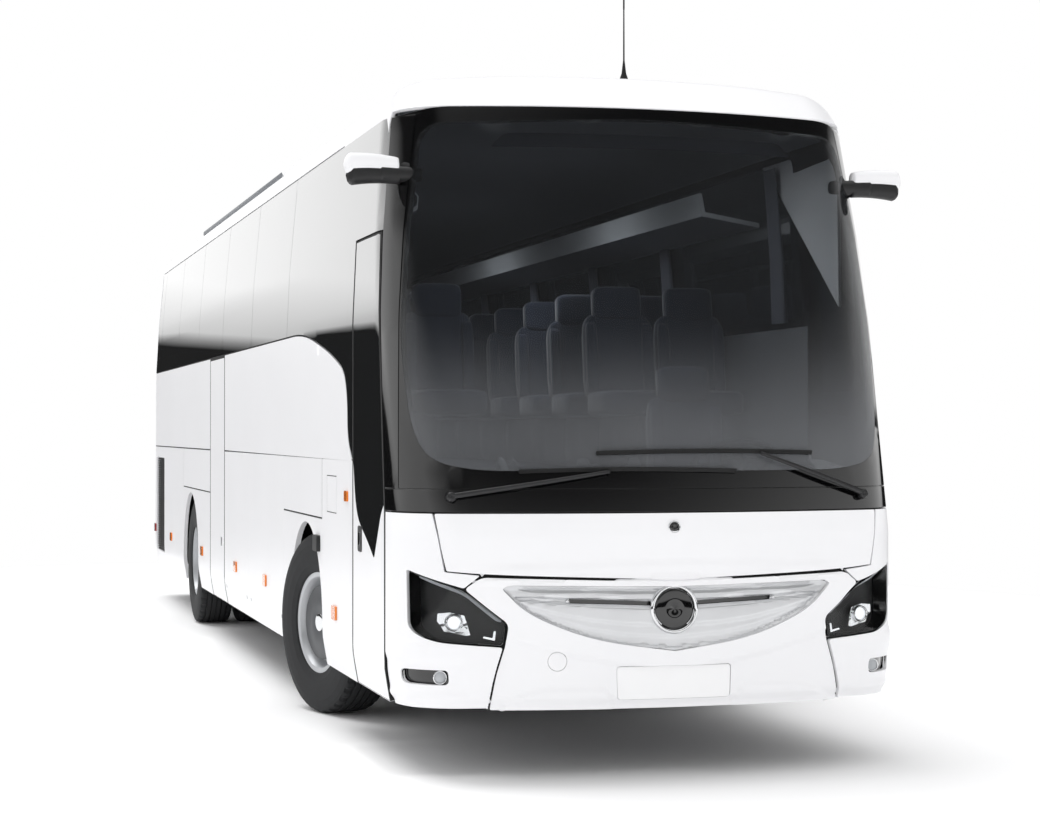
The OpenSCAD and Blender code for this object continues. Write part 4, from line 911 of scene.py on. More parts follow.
def to_s(outline):
    """Front view outline (y, z) turned into (s, z)."""
    outline = np.asarray(outline, float)
    return np.stack([s_of(outline[:, 0]), outline[:, 1]], 1)


screen_tint, tree, shader, place = coating("laminated_windscreen", {
    "Transmission Weight": 1.0, "IOR": 1.45, "Roughness": 0.0})
parts = add(tree, "ShaderNodeSeparateXYZ", {}, [("Vector", place)])
# Painted light: a patchy grey diffuse haze, strongest at the lower edge, stands in for the lit dashboard
# behind the glass
dash_glow_ramp = add(tree, "ShaderNodeMapRange", {"From Min": 1.42, "From Max": 2.25, "To Min": 0.34, "To Max": 0.03},
           [("Value", parts.outputs["Z"])])
dash_glow_ramp.interpolation_type = "SMOOTHERSTEP"
dash_glow_patches = add(tree, "ShaderNodeTexNoise", {"Scale": 1.2, "Detail": 3.0}, [("Vector", place)])
amount = add(tree, "ShaderNodeMath", {"operation": "MULTIPLY"}, [(0, dash_glow_ramp.outputs["Result"])])
shade = add(tree, "ShaderNodeMath", {"operation": "ADD", 1: 0.5}, [(0, dash_glow_patches.outputs["Fac"])])
tree.links.new(shade.outputs[0], amount.inputs[1])
mottle(tree, shader, place, 1.4, "#8D9295", "#999DA0")
painted_dash_glow = add(tree, "ShaderNodeBsdfDiffuse", {"Color": srgb("#8A8C90")})
both_ways = add(tree, "ShaderNodeMixShader", {}, [(0, amount.outputs[0]), (1, shader.outputs[0]),
                                                  (2, painted_dash_glow.outputs[0])])
output = [n for n in tree.nodes if n.type == "OUTPUT_MATERIAL"][0]
tree.links.new(both_ways.outputs[0], output.inputs["Surface"])

glass_low = screen_z + 0.108
clear_half = rounded(mirror_half([[0, 1.44], [0.918, 1.445], [1.122, 1.49], [1.186, 1.65], [1.211, 2.05],
                                  [1.147, 3.123], [0, 3.153]]), 0.13, 8)
clear_line = to_s(clear_half)
surround_line = nose_band(screen_z + 0.001, 0.0, 0.003)
piece("screen_surround_shell", [panel(nose_point, surround_line, [clear_line], step=0.05, depth=0.0065)],
      printed_black, replaces=["screen_surround"], thick=0.03, bevel=0.004)
piece("screen_glass", [panel(nose_point, clear_line, step=0.05)], screen_tint,
      replaces=["windscreen"], thick=0.0055)
piece("screen_border", [panel(nose_point, nose_band(glass_low + 0.002, 0.145, 0.006), [clear_line],
                              step=0.05)],
      printed_black, thick=0.0055)
low_band = nose_band(screen_z + 0.002, 0.0, 0.0, glass_low - 0.002, 4)
pillar_z = np.linspace(glass_low + 0.001, roof_seam_z - 0.006, 40)
pillar_in = nose_edge(pillar_z, 0.141)
pillar_out = nose_edge(pillar_z, 0.0)
pillar_line = np.vstack([np.stack([pillar_in, pillar_z], 1), np.stack([pillar_out, pillar_z], 1)[::-1]])
piece("screen_trim_panels", [panel(nose_point, low_band, step=0.05),
                             panel(nose_point, pillar_line[::-1], step=0.05),
                             panel(nose_point, pillar_line * [-1, 1], step=0.05)], printed_black,
      thick=0.006, bevel=0.0015)

# ---- Front panel, bumper and corners ----
# Sheet-moulded panels in white enamel: a lift-up panel over the grille, the bumper and its two corners.
# Soft raised edges are pressed into them: a lip over the grille, a shield round it and a ledge below.
hood_half = [[0, 0.931 + g], [0.888, 0.960 + g], [1.065 - g, 0.975 + g], [1.085, 1.09],
             [1.112 - g, screen_z - g], [0, screen_z - g]]
hood_line = mirror_half(rounded(hood_half, [0, 0.3, 0.006, 0.1, 0.01, 0], 8))
shield_y = [0, 0.25, 0.5, 0.7, 0.86]
shield_z = [0.512, 0.542, 0.59, 0.64, 0.70]
ledge_y = [0, 0.28, 0.34, 0.60, 0.70, 0.80, 0.90]
ledge_z = [0.30, 0.30, 0.432, 0.430, 0.412, 0.37, 0.29]


def step_up(value, width):
    """Smooth rise from 0 to 1 over a width, centred where the value is 0."""
    t = np.clip(value / width + 0.5, 0, 1)
    return t * t * (3 - 2 * t)


def front_relief(s, z):
    """Height pressed into the front panels, from the distance to the raised edges' lines."""
    y = np.abs(plan_at(s)[1])
    lip = 0.010 * step_up(1.012 - 0.012 * y - z, 0.018) * step_up(0.86 - y, 0.25) * (z > 0.92)
    above_shield = step_up(z - np.interp(y, shield_y, shield_z), 0.016)
    shield = 0.012 * above_shield * step_up(0.90 - y, 0.10) * (z < 0.94)
    ledge = 0.012 * step_up(np.interp(y, ledge_y, ledge_z) - z, 0.020) * step_up(y - 0.30, 0.05)
    fillet = -0.020 * step_up(0.372 - z, 0.05)
    return lip + shield + ledge + fillet


piece("front_flap_panel", [panel(nose_point, to_s(hood_line), step=0.016, push=front_relief)], white_enamel,
      replaces=["front_panel"], thick=0.02, bevel=0.003)

lamp_half = np.array([[half_w - 0.065, 0.975], [half_w - 0.07, 0.70], [half_w - 0.16, 0.655],
                      [half_w - 0.47, 0.632], [half_w - 0.485, 0.735], [half_w - 0.29, 0.89]])
lamp_line = rounded(lamp_half[::-1], [0.06, 0.02, 0.02, 0.07, 0.05, 0.015], 6)
lamp_s = to_s(lamp_line)
fog_line = rounded(box_outline(half_w - 0.225, half_w - 0.035, 0.45, 0.52), [0.03, 0.03, 0.02, 0.02])
grille_line = mirror_half(rounded([[0, 0.600], [0.40, 0.655], [0.70, 0.780], [0.815, 0.900], [0.780, 0.915],
                                   [0, 0.904]], [0, 0.25, 0.12, 0.02, 0.02, 0]))
tow_y, tow_z = -0.56, 0.56
round_t = np.linspace(0, 2 * math.pi, 49)[:-1]
tow_ring = np.stack([tow_y + 0.045 * np.cos(round_t), tow_z + 0.045 * np.sin(round_t)], 1)
plate_line = rounded(box_outline(-0.283, 0.283, 0.376, 0.533), 0.018)
# The bumper stops at the lamps: its outline goes round their inner ends
cut_bumper = mirror_half(rounded([[0, skirt_low], [0.893 - g, skirt_low], [0.806 - g, 0.622],
                                  [0.804 - g, 0.632 - g], [0.786 - g, 0.735], [0.880, 0.812], [0.981, 0.896],
                                  [0.905, 0.956 - g], [0, 0.930 - g]],
                                 [0, 0.01, 0.01, 0.01, 0.03, 0.12, 0.02, 0.03, 0]))
bumper_holes = [to_s(grille_line), to_s(plate_line), to_s(tow_ring)]
piece("front_bumper_shell", [panel(nose_point, to_s(cut_bumper), bumper_holes, step=0.013,
                                   push=front_relief)],
      white_enamel, replaces=["front_bumper"], thick=0.022, bevel=0.003)
corner_z = np.linspace(screen_z - g, skirt_low, 60)
corner_edge = np.stack([nose_edge(corner_z) - g, corner_z], 1)
corner_in = to_s(rounded([[0.893 + g, skirt_low], [0.806 + g, 0.622], [0.82, 0.627], [half_w - 0.16, 0.650],
                          [half_w - 0.062, 0.697], [half_w - 0.058, 0.983], [0.985, 0.900], [0.912, 0.959],
                          [1.065 + g, 0.975], [1.090, 1.09], [1.112 + g, screen_z - g]],
                         [0.01, 0.01, 0.01, 0.07, 0.05, 0.01, 0.01, 0.01, 0.006, 0.1, 0]))


def corner_relief(s, z):
    """A crease under the lamp and a pocket round the fog lamp."""
    y = np.abs(plan_at(s)[1])
    crease = 0.010 * step_up(0.655 - 0.05 * (1.2 - y) - z, 0.02) * step_up(1.245 - y, 0.05)
    pocket = -0.010 * step_up(0.56 - z, 0.05) * step_up(z - 0.40, 0.05) * step_up(y - 0.98, 0.06)
    return crease + pocket - 0.020 * step_up(0.372 - z, 0.05)


corner_line = np.vstack([corner_in, corner_edge])
left_corner = panel(nose_point, corner_line[::-1], [to_s(fog_line)], step=0.013, push=corner_relief)
right_corner = (left_corner[0] * [1, -1, 1], left_corner[1][:, ::-1])
piece("bumper_corner_shells", [left_corner, right_corner], white_enamel,
      replaces=["bumper_corners"], thick=0.02, bevel=0.003)
plate_white, tree, shader, place = coating("white_plate_holder", {"Roughness": 0.35})
mottle(tree, shader, place, 0.3, "#EEEEEF", "#F4F4F5")
relief(tree, shader, place, 0.02, 0.00005)
piece("plate_holder", [panel(on_front, shrink(plate_line, 0.0022), step=0.03, depth=0.004)], plate_white,
      thick=0.012, bevel=0.0015)
piece("tow_eye_cover", [panel(on_front, tow_ring + ([tow_y, tow_z] - tow_ring) * 0.035, step=0.02,
                              depth=0.0005)],
      white_enamel, thick=0.012, bevel=0.0015)
# Black sheet behind the gaps of the nose: painted shade that makes the gaps read dark
liner = nose_band(skirt_low + 0.02, 0.0, 0.02, screen_z + 0.02, 12)
liner_holes = [to_s(shrink(grille_line, -0.01)), lamp_s, lamp_s * [-1, 1], to_s(fog_line),
               to_s(fog_line) * [-1, 1], to_s(tow_ring)]
piece("nose_gap_shade_sheet", [panel(nose_point, liner, liner_holes, step=0.06, depth=0.026)], sealing_rubber,
      thick=0.006)

# ---- Grille ----
# Die-cast aluminium bars in silver lacquer: two broad wings over and under a black slot, in a raised rim.
# In the middle sits a blank black roundel in a chromed ring.
silver_lacquer, tree, shader, place = coating("silver_lacquer", {
    "Metallic": 0.55, "Roughness": 0.28, "Coat Weight": 0.5, "Coat Roughness": 0.08})
mottle(tree, shader, place, 0.25, "#C9CACC", "#DCDDDF")
relief(tree, shader, place, 0.001, 0.00002)
chrome, tree, shader, place = coating("chromed_plastic", {"Metallic": 1.0, "Roughness": 0.06})
mottle(tree, shader, place, 0.1, "#D8D9DB", "#E8E9EA")
gloss_black, tree, shader, place = coating("gloss_black_plastic", {
    "Roughness": 0.08, "Coat Weight": 0.8, "Coat Roughness": 0.02})
mottle(tree, shader, place, 0.1, "#040405", "#09090A")
satin_black, tree, shader, place = coating("grained_black_plastic", {"Roughness": 0.5})
mottle(tree, shader, place, 0.03, "#101011", "#1B1B1D")
relief(tree, shader, place, 0.0015, 0.0002)
grille_top = np.array([[0, 0.904], [0.78, 0.915], [0.815, 0.90]])
grille_low = np.array([[0, 0.600], [0.25, 0.622], [0.40, 0.655], [0.58, 0.722], [0.70, 0.78], [0.815, 0.90]])


def grille_height(y, z):
    """Bars of the grille as a height over its bottom: rim, upper wing, slot bar and lower wing."""
    a = np.abs(y)
    top = np.interp(a, grille_top[:, 0], grille_top[:, 1])
    low = np.interp(a, grille_low[:, 0], grille_low[:, 1])
    slot_z = 0.822 + 0.035 * a
    up = np.clip((z - slot_z) / np.maximum(top - slot_z, 1e-3), -1, 1)
    down = np.clip((slot_z - z) / np.maximum(slot_z - low, 1e-3), -1, 1)
    rim = step_up(0.016 - np.minimum(top - z, (z - low) * 0.9), 0.008)
    wing_up = 0.75 * step_up(up - 0.16, 0.10) - 0.35 * step_up(up - 0.60, 0.07) * step_up(0.72 - a, 0.1)
    wing_low = 0.8 * step_up(down - 0.10, 0.08) - 0.28 * step_up(down - 0.48, 0.05) \
        - 0.22 * step_up(down - 0.72, 0.05)
    body = np.where(z > slot_z, wing_up, wing_low)
    return 0.020 * np.maximum(body, rim)


def grille_push(s, z):
    """The grille's height at an arc length and height."""
    return grille_height(plan_at(s)[1], z)


slot_line = rounded([[0.10, 0.812], [0.50, 0.829], [0.505, 0.848], [0.10, 0.832]], 0.004)
slot_holes = [to_s(slot_line), to_s(slot_line * [-1, 1])]
piece("grille_bars", [panel(nose_point, to_s(shrink(grille_line, 0.002)), slot_holes, step=0.008, depth=0.026,
                            push=grille_push)], silver_lacquer, replaces=["grille"],
      thick=0.006)
back = panel(on_front, rounded([[-0.52, 0.80], [0.52, 0.80], [0.52, 0.86], [-0.52, 0.86]], 0.004), step=0.05,
             depth=0.040)
piece("grille_slot_back", [back], gloss_black, thick=0.004)


def turned(profile, centre, axis, sides=64, close=True):
    """A profile of (radius, distance along the axis) pairs turned round an axis through a centre."""
    profile = np.asarray(profile, float)
    axis = np.asarray(axis, float) / np.linalg.norm(axis)
    side_a = np.cross(axis, [0, 0, 1.0] if abs(axis[2]) < 0.9 else [1.0, 0, 0])
    side_a /= np.linalg.norm(side_a)
    side_b = np.cross(axis, side_a)
    t = np.linspace(0, 2 * math.pi, sides + 1)[:-1]
    ring = np.cos(t)[None, :, None] * side_a + np.sin(t)[None, :, None] * side_b
    points = centre + profile[:, :1, None] * ring + profile[:, 1:2, None] * axis
    return grid(points[..., 0], points[..., 1], points[..., 2], closed_u=True, closed_v=close, flip=True)


roundel_z = 0.797
roundel_at = np.array([front_x - 0.012, 0, roundel_z])
badge_at = on_front(np.array([0.0]), np.array([1.18]), -0.001)[0]
for name, at, axis, sides, ring, disc in (
        ("roundel", roundel_at, (1, 0, 0), 64,
         [[0.098, -0.03], [0.098, 0.004], [0.101, 0.011], [0.107, 0.014], [0.114, 0.011], [0.119, 0.0],
          [0.119, -0.03]],
         [[1e-4, -0.03], [1e-4, 0.010], [0.05, 0.0085], [0.085, 0.004], [0.098, 0.0], [0.098, -0.03]]),
        ("small_badge", badge_at, (1, 0, 0.02), 40,
         [[0.024, -0.006], [0.024, 0.004], [0.0265, 0.006], [0.029, 0.004], [0.030, -0.006]],
         [[1e-4, -0.006], [1e-4, 0.005], [0.015, 0.004], [0.024, 0.002], [0.024, -0.006]])):
    piece(name + "_ring", [turned(ring, at, axis, sides)], chrome)
    piece(name + "_disc", [turned(disc, at, axis, sides)], gloss_black)
tips = [turned([[1e-4, -0.02], [1e-4, 0.003], [0.007, 0.002], [0.009, -0.02]],
               on_front(np.array([k * 0.512]), np.array([0.839]), 0.015)[0], (1, 0, 0), 16) for k in (-1, 1)]
piece("grille_tips", tips, chrome)

# ---- Headlamps and fog lamps ----
# Black moulded housings with a bright projector in a pointed chrome frame, a pale light bar along the
# top edge, and clear polycarbonate bonded flush over the front.
lamp_clear, tree, shader, place = coating("clear_polycarbonate", {
    "Transmission Weight": 1.0, "Roughness": 0.02, "IOR": 1.2})
mottle(tree, shader, place, 0.5, "#F6F8F9", "#FFFFFF")
bar_white, tree, shader, place = coating("frosted_light_bar", {"Roughness": 0.45})
mottle(tree, shader, place, 0.05, "#A9ACB0", "#B9BCBF")
lens_lit, tree, shader, place = coating("bright_projector_lens", {"Roughness": 0.1, "Emission Strength": 0.7})
mottle(tree, shader, place, 0.02, "#F4F6F8", "#FFFFFF")
mottle(tree, shader, place, 0.02, "#F4F6F8", "#FFFFFF", "Emission Color")
mirror_pair = [1, -1, 1]


def both_sides(shapes):
    """The shapes and their mirror images over the middle plane."""
    return shapes + [(points * mirror_pair, faces[:, ::-1]) for points, faces in shapes]


lamp_edge = to_s(shrink(lamp_line, 0.004))
piece("headlamp_trays", both_sides([panel(nose_point, lamp_edge, step=0.03, depth=0.075)]), satin_black,
      replaces=["front_lamps"], thick=0.004)


def wall_of(outline, near, far):
    """A band along a closed outline from one depth to another, facing inwards."""
    s, z = np.vstack([outline, outline[:1]]).T
    rows = [nose_point(s, z, np.full(len(s), near)), nose_point(s, z, np.full(len(s), far))]
    both_rows = np.stack(rows)
    return grid(both_rows[..., 0], both_rows[..., 1], both_rows[..., 2], flip=True)


piece("headlamp_walls", both_sides([wall_of(lamp_edge, 0.004, 0.075)]), gloss_black)
piece("headlamp_lenses",
      both_sides([panel(nose_point, to_s(shrink(lamp_line, 0.0025)), step=0.03, depth=0.001)]), lamp_clear,
      thick=0.003)
bar_line = rounded([[0.815, 0.742], [0.84, 0.746], [0.985, 0.866], [1.185, 0.945], [1.185, 0.957],
                    [0.97, 0.880], [0.815, 0.757]], [0.004, 0.02, 0.03, 0.004, 0.004, 0.03, 0.004])
piece("headlamp_bars", both_sides([panel(nose_point, to_s(bar_line), step=0.02, depth=0.028)]), bar_white,
      thick=0.012, bevel=0.002)
lamp_at = nose_point(to_s(np.array([[1.035, 0.738]]))[:, 0], np.array([0.738]), np.array([0.045]))[0]
lamp_way = np.array([1.0, 0.12, 0.0])
ring_profile = [[0.040, -0.02], [0.037, 0.010], [0.034, 0.013], [0.030, 0.010], [0.027, -0.008]]
lens_profile = [[1e-4, 0.012], [0.014, 0.009], [0.023, 0.002], [0.028, -0.008]]
piece("projector_rings", both_sides([turned(ring_profile, lamp_at, lamp_way, 48, False)]), chrome,
      thick=0.002)
piece("projector_lenses", both_sides([turned(lens_profile, lamp_at, lamp_way, 48, False)]), lens_lit,
      thick=0.002)
facet_line = [[1.110, 0.780], [1.054, 0.785], [0.984, 0.771], [0.956, 0.682], [0.975, 0.678], [1.082, 0.696],
              [1.114, 0.745]]
hole_line = np.stack([1.035 + 0.038 * np.cos(round_t), 0.738 + 0.038 * np.sin(round_t)], 1)


def facet_push(s, z):
    """Facets that stand higher outwards and sink towards the lamp's middle line."""
    y = np.abs(plan_at(s)[1])
    return 0.3 * np.clip(np.hypot(y - 1.035, z - 0.738) - 0.038, 0, 0.06) + 0.006 * np.abs((y * 17) % 1 - 0.5)


piece("projector_frames",
      both_sides([panel(nose_point, to_s(facet_line), [to_s(hole_line)], step=0.012, depth=0.055,
                                            push=facet_push)]), chrome, thick=0.002,
      smooth=False)
hook = rounded([[0.845, 0.655], [0.90, 0.668], [0.895, 0.676], [0.855, 0.668], [0.85, 0.70], [0.84, 0.70]],
               0.003)
piece("headlamp_hooks", both_sides([panel(nose_point, to_s(hook), step=0.02, depth=0.03)]), chrome,
      thick=0.008, bevel=0.001)
fog_at = nose_point(to_s(np.array([[half_w - 0.185, 0.485]]))[:, 0], np.array([0.485]), np.array([0.012]))[0]
fog_back = to_s(shrink(fog_line, -0.004))
piece("fog_lamp_backs", both_sides([panel(nose_point, fog_back, step=0.02, depth=0.03),
                                    wall_of(to_s(fog_line), 0.012, 0.03)]), gloss_black,
      thick=0.002)
piece("fog_lamp_rings", both_sides([turned([[0.033, -0.012], [0.033, 0.003], [0.030, 0.006], [0.026, 0.002],
                                            [0.026, -0.012]], fog_at, lamp_way, 40)]), chrome)
piece("fog_lamp_lenses", both_sides([turned([[1e-4, 0.004], [0.018, 0.002], [0.026, -0.002], [0.026, -0.012]],
                                            fog_at, lamp_way, 40, False)]), bar_white,
      thick=0.002)

# ---- Mirrors ----
# Horn-shaped shells of moulded plastic, white over black, on stout arms from the front pillars.
# The glass sits in the rear face of each shell.
mirror_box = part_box("mirrors")


def mirror_shell(side, low, high, out_from, out_to, shift, droop):
    """A flattened horn: superellipse rings along y that grow towards the tip and bend down."""
    t = np.linspace(0, 1, 28)[:, None]
    a = np.linspace(0, 2 * math.pi, 41)[None, :-1]
    close = np.clip(np.minimum(t / 0.04, (1 - t) / 0.10), 0, 1) ** 0.5
    y = out_from + (out_to - out_from) * t
    mid = (low + high) / 2 - droop * (t - 0.5) ** 2 * 2
    tall = (high - low) / 2 * (0.72 + 0.28 * t) * close
    deep = 0.052 * (0.8 + 0.2 * t) * close
    c, s = np.cos(a), np.sin(a)
    z = mid + tall * np.sign(s) * np.abs(s) ** 0.85
    x = shift + deep * np.sign(c) * np.abs(c) ** 0.85
    return grid(x, side * (y + 0 * a), z, flip=side < 0, closed_u=True)


mirror_x = (mirror_box[0].x + mirror_box[1].x) / 2
mirror_low, mirror_top, mirror_tip = mirror_box[0].z, mirror_box[1].z, mirror_box[1].y
piece("mirror_shells", [mirror_shell(k, mirror_low + 0.045, mirror_top, half_w - 0.10, mirror_tip, mirror_x,
                                     0.02)
                        for k in (-1, 1)], white_enamel, replaces=["mirrors"])
piece("mirror_undersides", [mirror_shell(k, mirror_low, mirror_top - 0.055, half_w - 0.11, mirror_tip - 0.012,
                                         mirror_x, 0.02) for k in (-1, 1)], satin_black)
silvered, tree, shader, place = coating("silvered_glass", {"Metallic": 1.0, "Roughness": 0.01})
mottle(tree, shader, place, 0.3, "#E4E7EA", "#EDEFF1")
for k, word in ((-1, "right"), (1, "left")):
    glass_line = rounded(box_outline(half_w, mirror_tip - 0.03, mirror_low + 0.02, mirror_top - 0.03), 0.02)
    pane = panel(lambda u, v, depth, k=k: np.stack([mirror_x - 0.05 + 0 * u + depth, k * u, v], 1),
                 glass_line, step=0.04, flip=k < 0)
    piece("mirror_glass_" + word, [(pane[0], pane[1][:, ::-1])], silvered, thick=0.004)
mounts = [mirror_shell(k, mirror_low + 0.01, mirror_top - 0.06, half_w - 0.215, half_w + 0.02, mirror_x, 0)
          for k in (-1, 1)]
piece("mirror_mounts", mounts, satin_black)

# ---- Wipers ----
# Two black painted steel arms on pivots under the screen; spring blades with a rubber lip rest on
# the glass, nearly level.
wiper_steel, tree, shader, place = coating("black_wiper_enamel", {"Roughness": 0.4})
mottle(tree, shader, place, 0.1, "#141416", "#202022")


def sweep(path, half_wide, half_tall, up=(0, 0, 1.0), sides=10):
    """A bar with an oval section swept along a path; the ends close to points."""
    path = np.asarray(path, float)
    along = np.gradient(path, axis=0)
    along /= np.linalg.norm(along, axis=1)[:, None]
    across = np.cross(along, np.asarray(up, float))
    across /= np.linalg.norm(across, axis=1)[:, None]
    rise = np.cross(across, along)
    t = np.linspace(0, 2 * math.pi, sides + 1)[:-1]
    wide = np.broadcast_to(half_wide, len(path)) * np.ones(len(path))
    tall = np.broadcast_to(half_tall, len(path)) * np.ones(len(path))
    points = (path[:, None] + across[:, None] * (np.cos(t)[None, :, None] * wide[:, None, None])
              + rise[:, None] * (np.sin(t)[None, :, None] * tall[:, None, None]))
    ends = [np.repeat(path[:1, None], sides, 1), points, np.repeat(path[-1:, None], sides, 1)]
    points = np.concatenate(ends)
    return grid(points[..., 0], points[..., 1], points[..., 2], closed_u=True)


def on_screen(y, z, out):
    """Points that stand out from the windscreen at widths y and heights z."""
    return on_front(np.asarray(y, float), np.asarray(z, float), -np.asarray(out, float) * np.ones(len(y)))


blades, arms = [], []
for pivot_y, tip_y, tip_z, end_a, end_b in ((1.026, 0.46, 1.525, -0.354, 0.747),
                                            (-1.035, -0.30, 1.44, -0.72, 0.33)):
    t = np.linspace(0, 1, 30)
    way_y = pivot_y + (tip_y - pivot_y) * t
    way_z = 1.326 + (tip_z - 1.326) * t
    arms.append(sweep(on_screen(way_y, way_z, 0.028 + 0.012 * np.sin(t * math.pi)), 0.010 - 0.004 * t,
                      0.014 - 0.005 * t))
    blade_y = np.linspace(end_a, end_b, 40)
    blade_z = tip_z + 0.01 * np.sin((blade_y - end_a) / (end_b - end_a) * math.pi)
    blades.append(sweep(on_screen(blade_y, blade_z, 0.008 + 0 * blade_y), 0.009, 0.010))
    blades.append(sweep(on_screen(blade_y, blade_z + 0.006, 0.016 + 0 * blade_y), 0.006, 0.006))
    hub = on_screen(np.array([pivot_y]), np.array([1.322]), np.array([0.0]))[0]
    arms.append(turned([[1e-4, 0.044], [0.018, 0.042], [0.024, 0.03], [0.026, -0.01]], hub, (1, 0, 0.1), 24))
piece("wiper_arms", arms, wiper_steel, replaces=["wipers"])
piece("wiper_blades", blades, sealing_rubber)

# ---- Roof equipment ----
# A moulded plastic cover for the air conditioner in matt white, with a grey bar along its foot on each side as
# painted shade for the ventilation slits, a white escape hatch on a curb, and a rubber-footed rod antenna.
cover_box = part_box("roof_unit")
shell_white, tree, shader, place = coating("matt_white_moulding", {"Roughness": 0.42})
mottle(tree, shader, place, 0.6, "#E8E9EA", "#F1F1F2")
relief(tree, shader, place, 0.004, 0.00008)
long_t = np.linspace(0, 1, 90)
cross_t = np.linspace(-1, 1, 61)
cover_run = cover_box[1].x - cover_box[0].x - 0.008
cover_x = cover_box[0].x + 0.004 + cover_run * (0.5 - 0.5 * np.cos(long_t * math.pi))
front_run = np.clip((cover_x[-1] - cover_x) / 0.75, 0, 1)
rear_run = np.clip((cover_x - cover_x[0]) / 0.35, 0, 1)
reach = np.sqrt(1 - (1 - front_run) ** 2.4) ** 0.75 * np.sqrt(1 - (1 - rear_run) ** 2.4)
wide = cover_box[1].y - 0.004
cover_low = roof_z - 0.035
cx, cy = np.meshgrid(cover_x, cross_t, indexing="ij")
shape_y = np.sign(cy) * np.abs(cy) ** 0.8
width_at = wide * (0.30 + 0.70 * np.clip(reach, 0, 1) ** 0.6)[:, None]
tall_at = (cover_box[1].z - cover_low) * np.clip(reach, 0, 1)[:, None] ** 0.5
profile_z = (1 - np.abs(cy) ** 5) ** 0.55
cz = cover_low + tall_at * profile_z
piece("air_conditioner_cover", [grid(cx, width_at * shape_y, cz)], shell_white,
      replaces=["roof_unit"], thick=0.006)
# Painted shade: a solid grey bar on each side stands in for the shade inside the cover's ventilation slit
slit_shade_grey, tree, shader, place = coating("grey_slit_shade", {"Roughness": 0.6})
mottle(tree, shader, place, 0.1, "#7D8084", "#8C8F93")
strips = []
for k in (-1, 1):
    run_x = np.linspace(cover_box[0].x + 0.5, cover_box[1].x - 0.95, 3)
    path = np.stack([run_x, k * (wide - 0.004) + 0 * run_x, roof_z + 0.05 + 0 * run_x], 1)
    strips.append(sweep(path, 0.008, 0.022, sides=8))
piece("air_conditioner_slit_shades", strips, slit_shade_grey)
hatch_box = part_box("roof_hatch")
hatch_mid = (hatch_box[0] + hatch_box[1]) / 2
hatch_line = rounded(box_outline(hatch_box[0].x, hatch_box[1].x, hatch_box[0].y, hatch_box[1].y), 0.07)


def hatch_lid(u, v, depth):
    """A lid that is domed a little and turns down at its rim."""
    edge_u = np.clip((0.35 - np.abs(u - hatch_mid.x)) / 0.05, 0, 1)
    edge_v = np.clip((0.35 - np.abs(v)) / 0.05, 0, 1)
    edge = np.minimum(edge_u, edge_v)
    drop = 0.014 * (1 - np.sqrt(np.clip(1 - (1 - edge) ** 2, 0, 1)))
    return np.stack([u, v, hatch_box[1].z - drop - depth], 1)


piece("roof_hatch_lid", [panel(hatch_lid, hatch_line, step=0.025)], shell_white, body="roof_hatch",
      replaces=["roof_hatch"], thick=0.010, bevel=0.002)
curb_line = rounded(box_outline(hatch_box[0].x + 0.03, hatch_box[1].x - 0.03, -0.32, 0.32), 0.06)
curb_s = np.vstack([curb_line, curb_line[:1]])
curb_x = np.stack([curb_s[:, 0], curb_s[:, 0]])
curb_y = np.stack([curb_s[:, 1], curb_s[:, 1]])
curb_z = np.stack([roof_at(curb_s[:, 1]) - 0.01, 0 * curb_s[:, 1] + hatch_box[0].z - 0.002])
piece("roof_hatch_curb", [grid(curb_x, curb_y, curb_z)], shell_white, thick=0.02)
antenna_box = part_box("antenna")
rod_x = (antenna_box[0].x + antenna_box[1].x) / 2
rod_y = (antenna_box[0].y + antenna_box[1].y) / 2
rod_at = np.array([rod_x, rod_y, antenna_box[0].z])
rod_tall = antenna_box[1].z - antenna_box[0].z
piece("antenna_foot", [turned([[0.032, -0.01], [0.032, 0.012], [0.024, 0.022], [0.012, 0.055], [0.008, 0.09],
                               [0.0045, 0.12]], rod_at, (0, 0, 1), 24, False)], sealing_rubber,
      replaces=["antenna"])
piece("antenna_rod", [turned([[0.0045, 0.10], [0.0035, rod_tall - 0.14], [0.0045, rod_tall - 0.13],
                              [0.0045, rod_tall - 0.008], [0.0005, rod_tall]], rod_at, (0, 0, 1), 12, False)],
      wiper_steel)

# ---- Wheels ----
# Steel-belted tyres with grooved tread on painted steel disc rims; the front rims carry a flat dark cover
# over the nuts, the rear ones are dished. A blank chromed cap closes each hub.
tyre_black, tree, shader, place = coating("tyre_rubber", {"Roughness": 0.78})
mottle(tree, shader, place, 0.05, "#17181A", "#232426")
relief(tree, shader, place, 0.006, 0.0003)
rim_grey, tree, shader, place = coating("silver_grey_rim_lacquer", {"Metallic": 0.35, "Roughness": 0.38})
mottle(tree, shader, place, 0.12, "#B4B6B9", "#C4C6C9")
relief(tree, shader, place, 0.002, 0.00005)
cover_grey, tree, shader, place = coating("dark_grey_wheel_cover", {"Metallic": 0.3, "Roughness": 0.4})
mottle(tree, shader, place, 0.1, "#46484B", "#56585B")
half_tyre = [[0.288, 0.119], [0.296, 0.134], [0.335, 0.1445], [0.395, 0.1472], [0.45, 0.1455], [0.487, 0.138],
             [0.505, 0.131], [0.514, 0.122], [0.519, 0.108], [0.5200, 0.088], [0.506, 0.0865],
             [0.506, 0.0795], [0.5212, 0.078], [0.5217, 0.046], [0.507, 0.0445], [0.507, 0.0375],
             [0.5218, 0.036], [0.522, 0.004], [0.507, 0.0035]]
tyre_profile = np.array(half_tyre + [[r, -a] for r, a in half_tyre[::-1]])


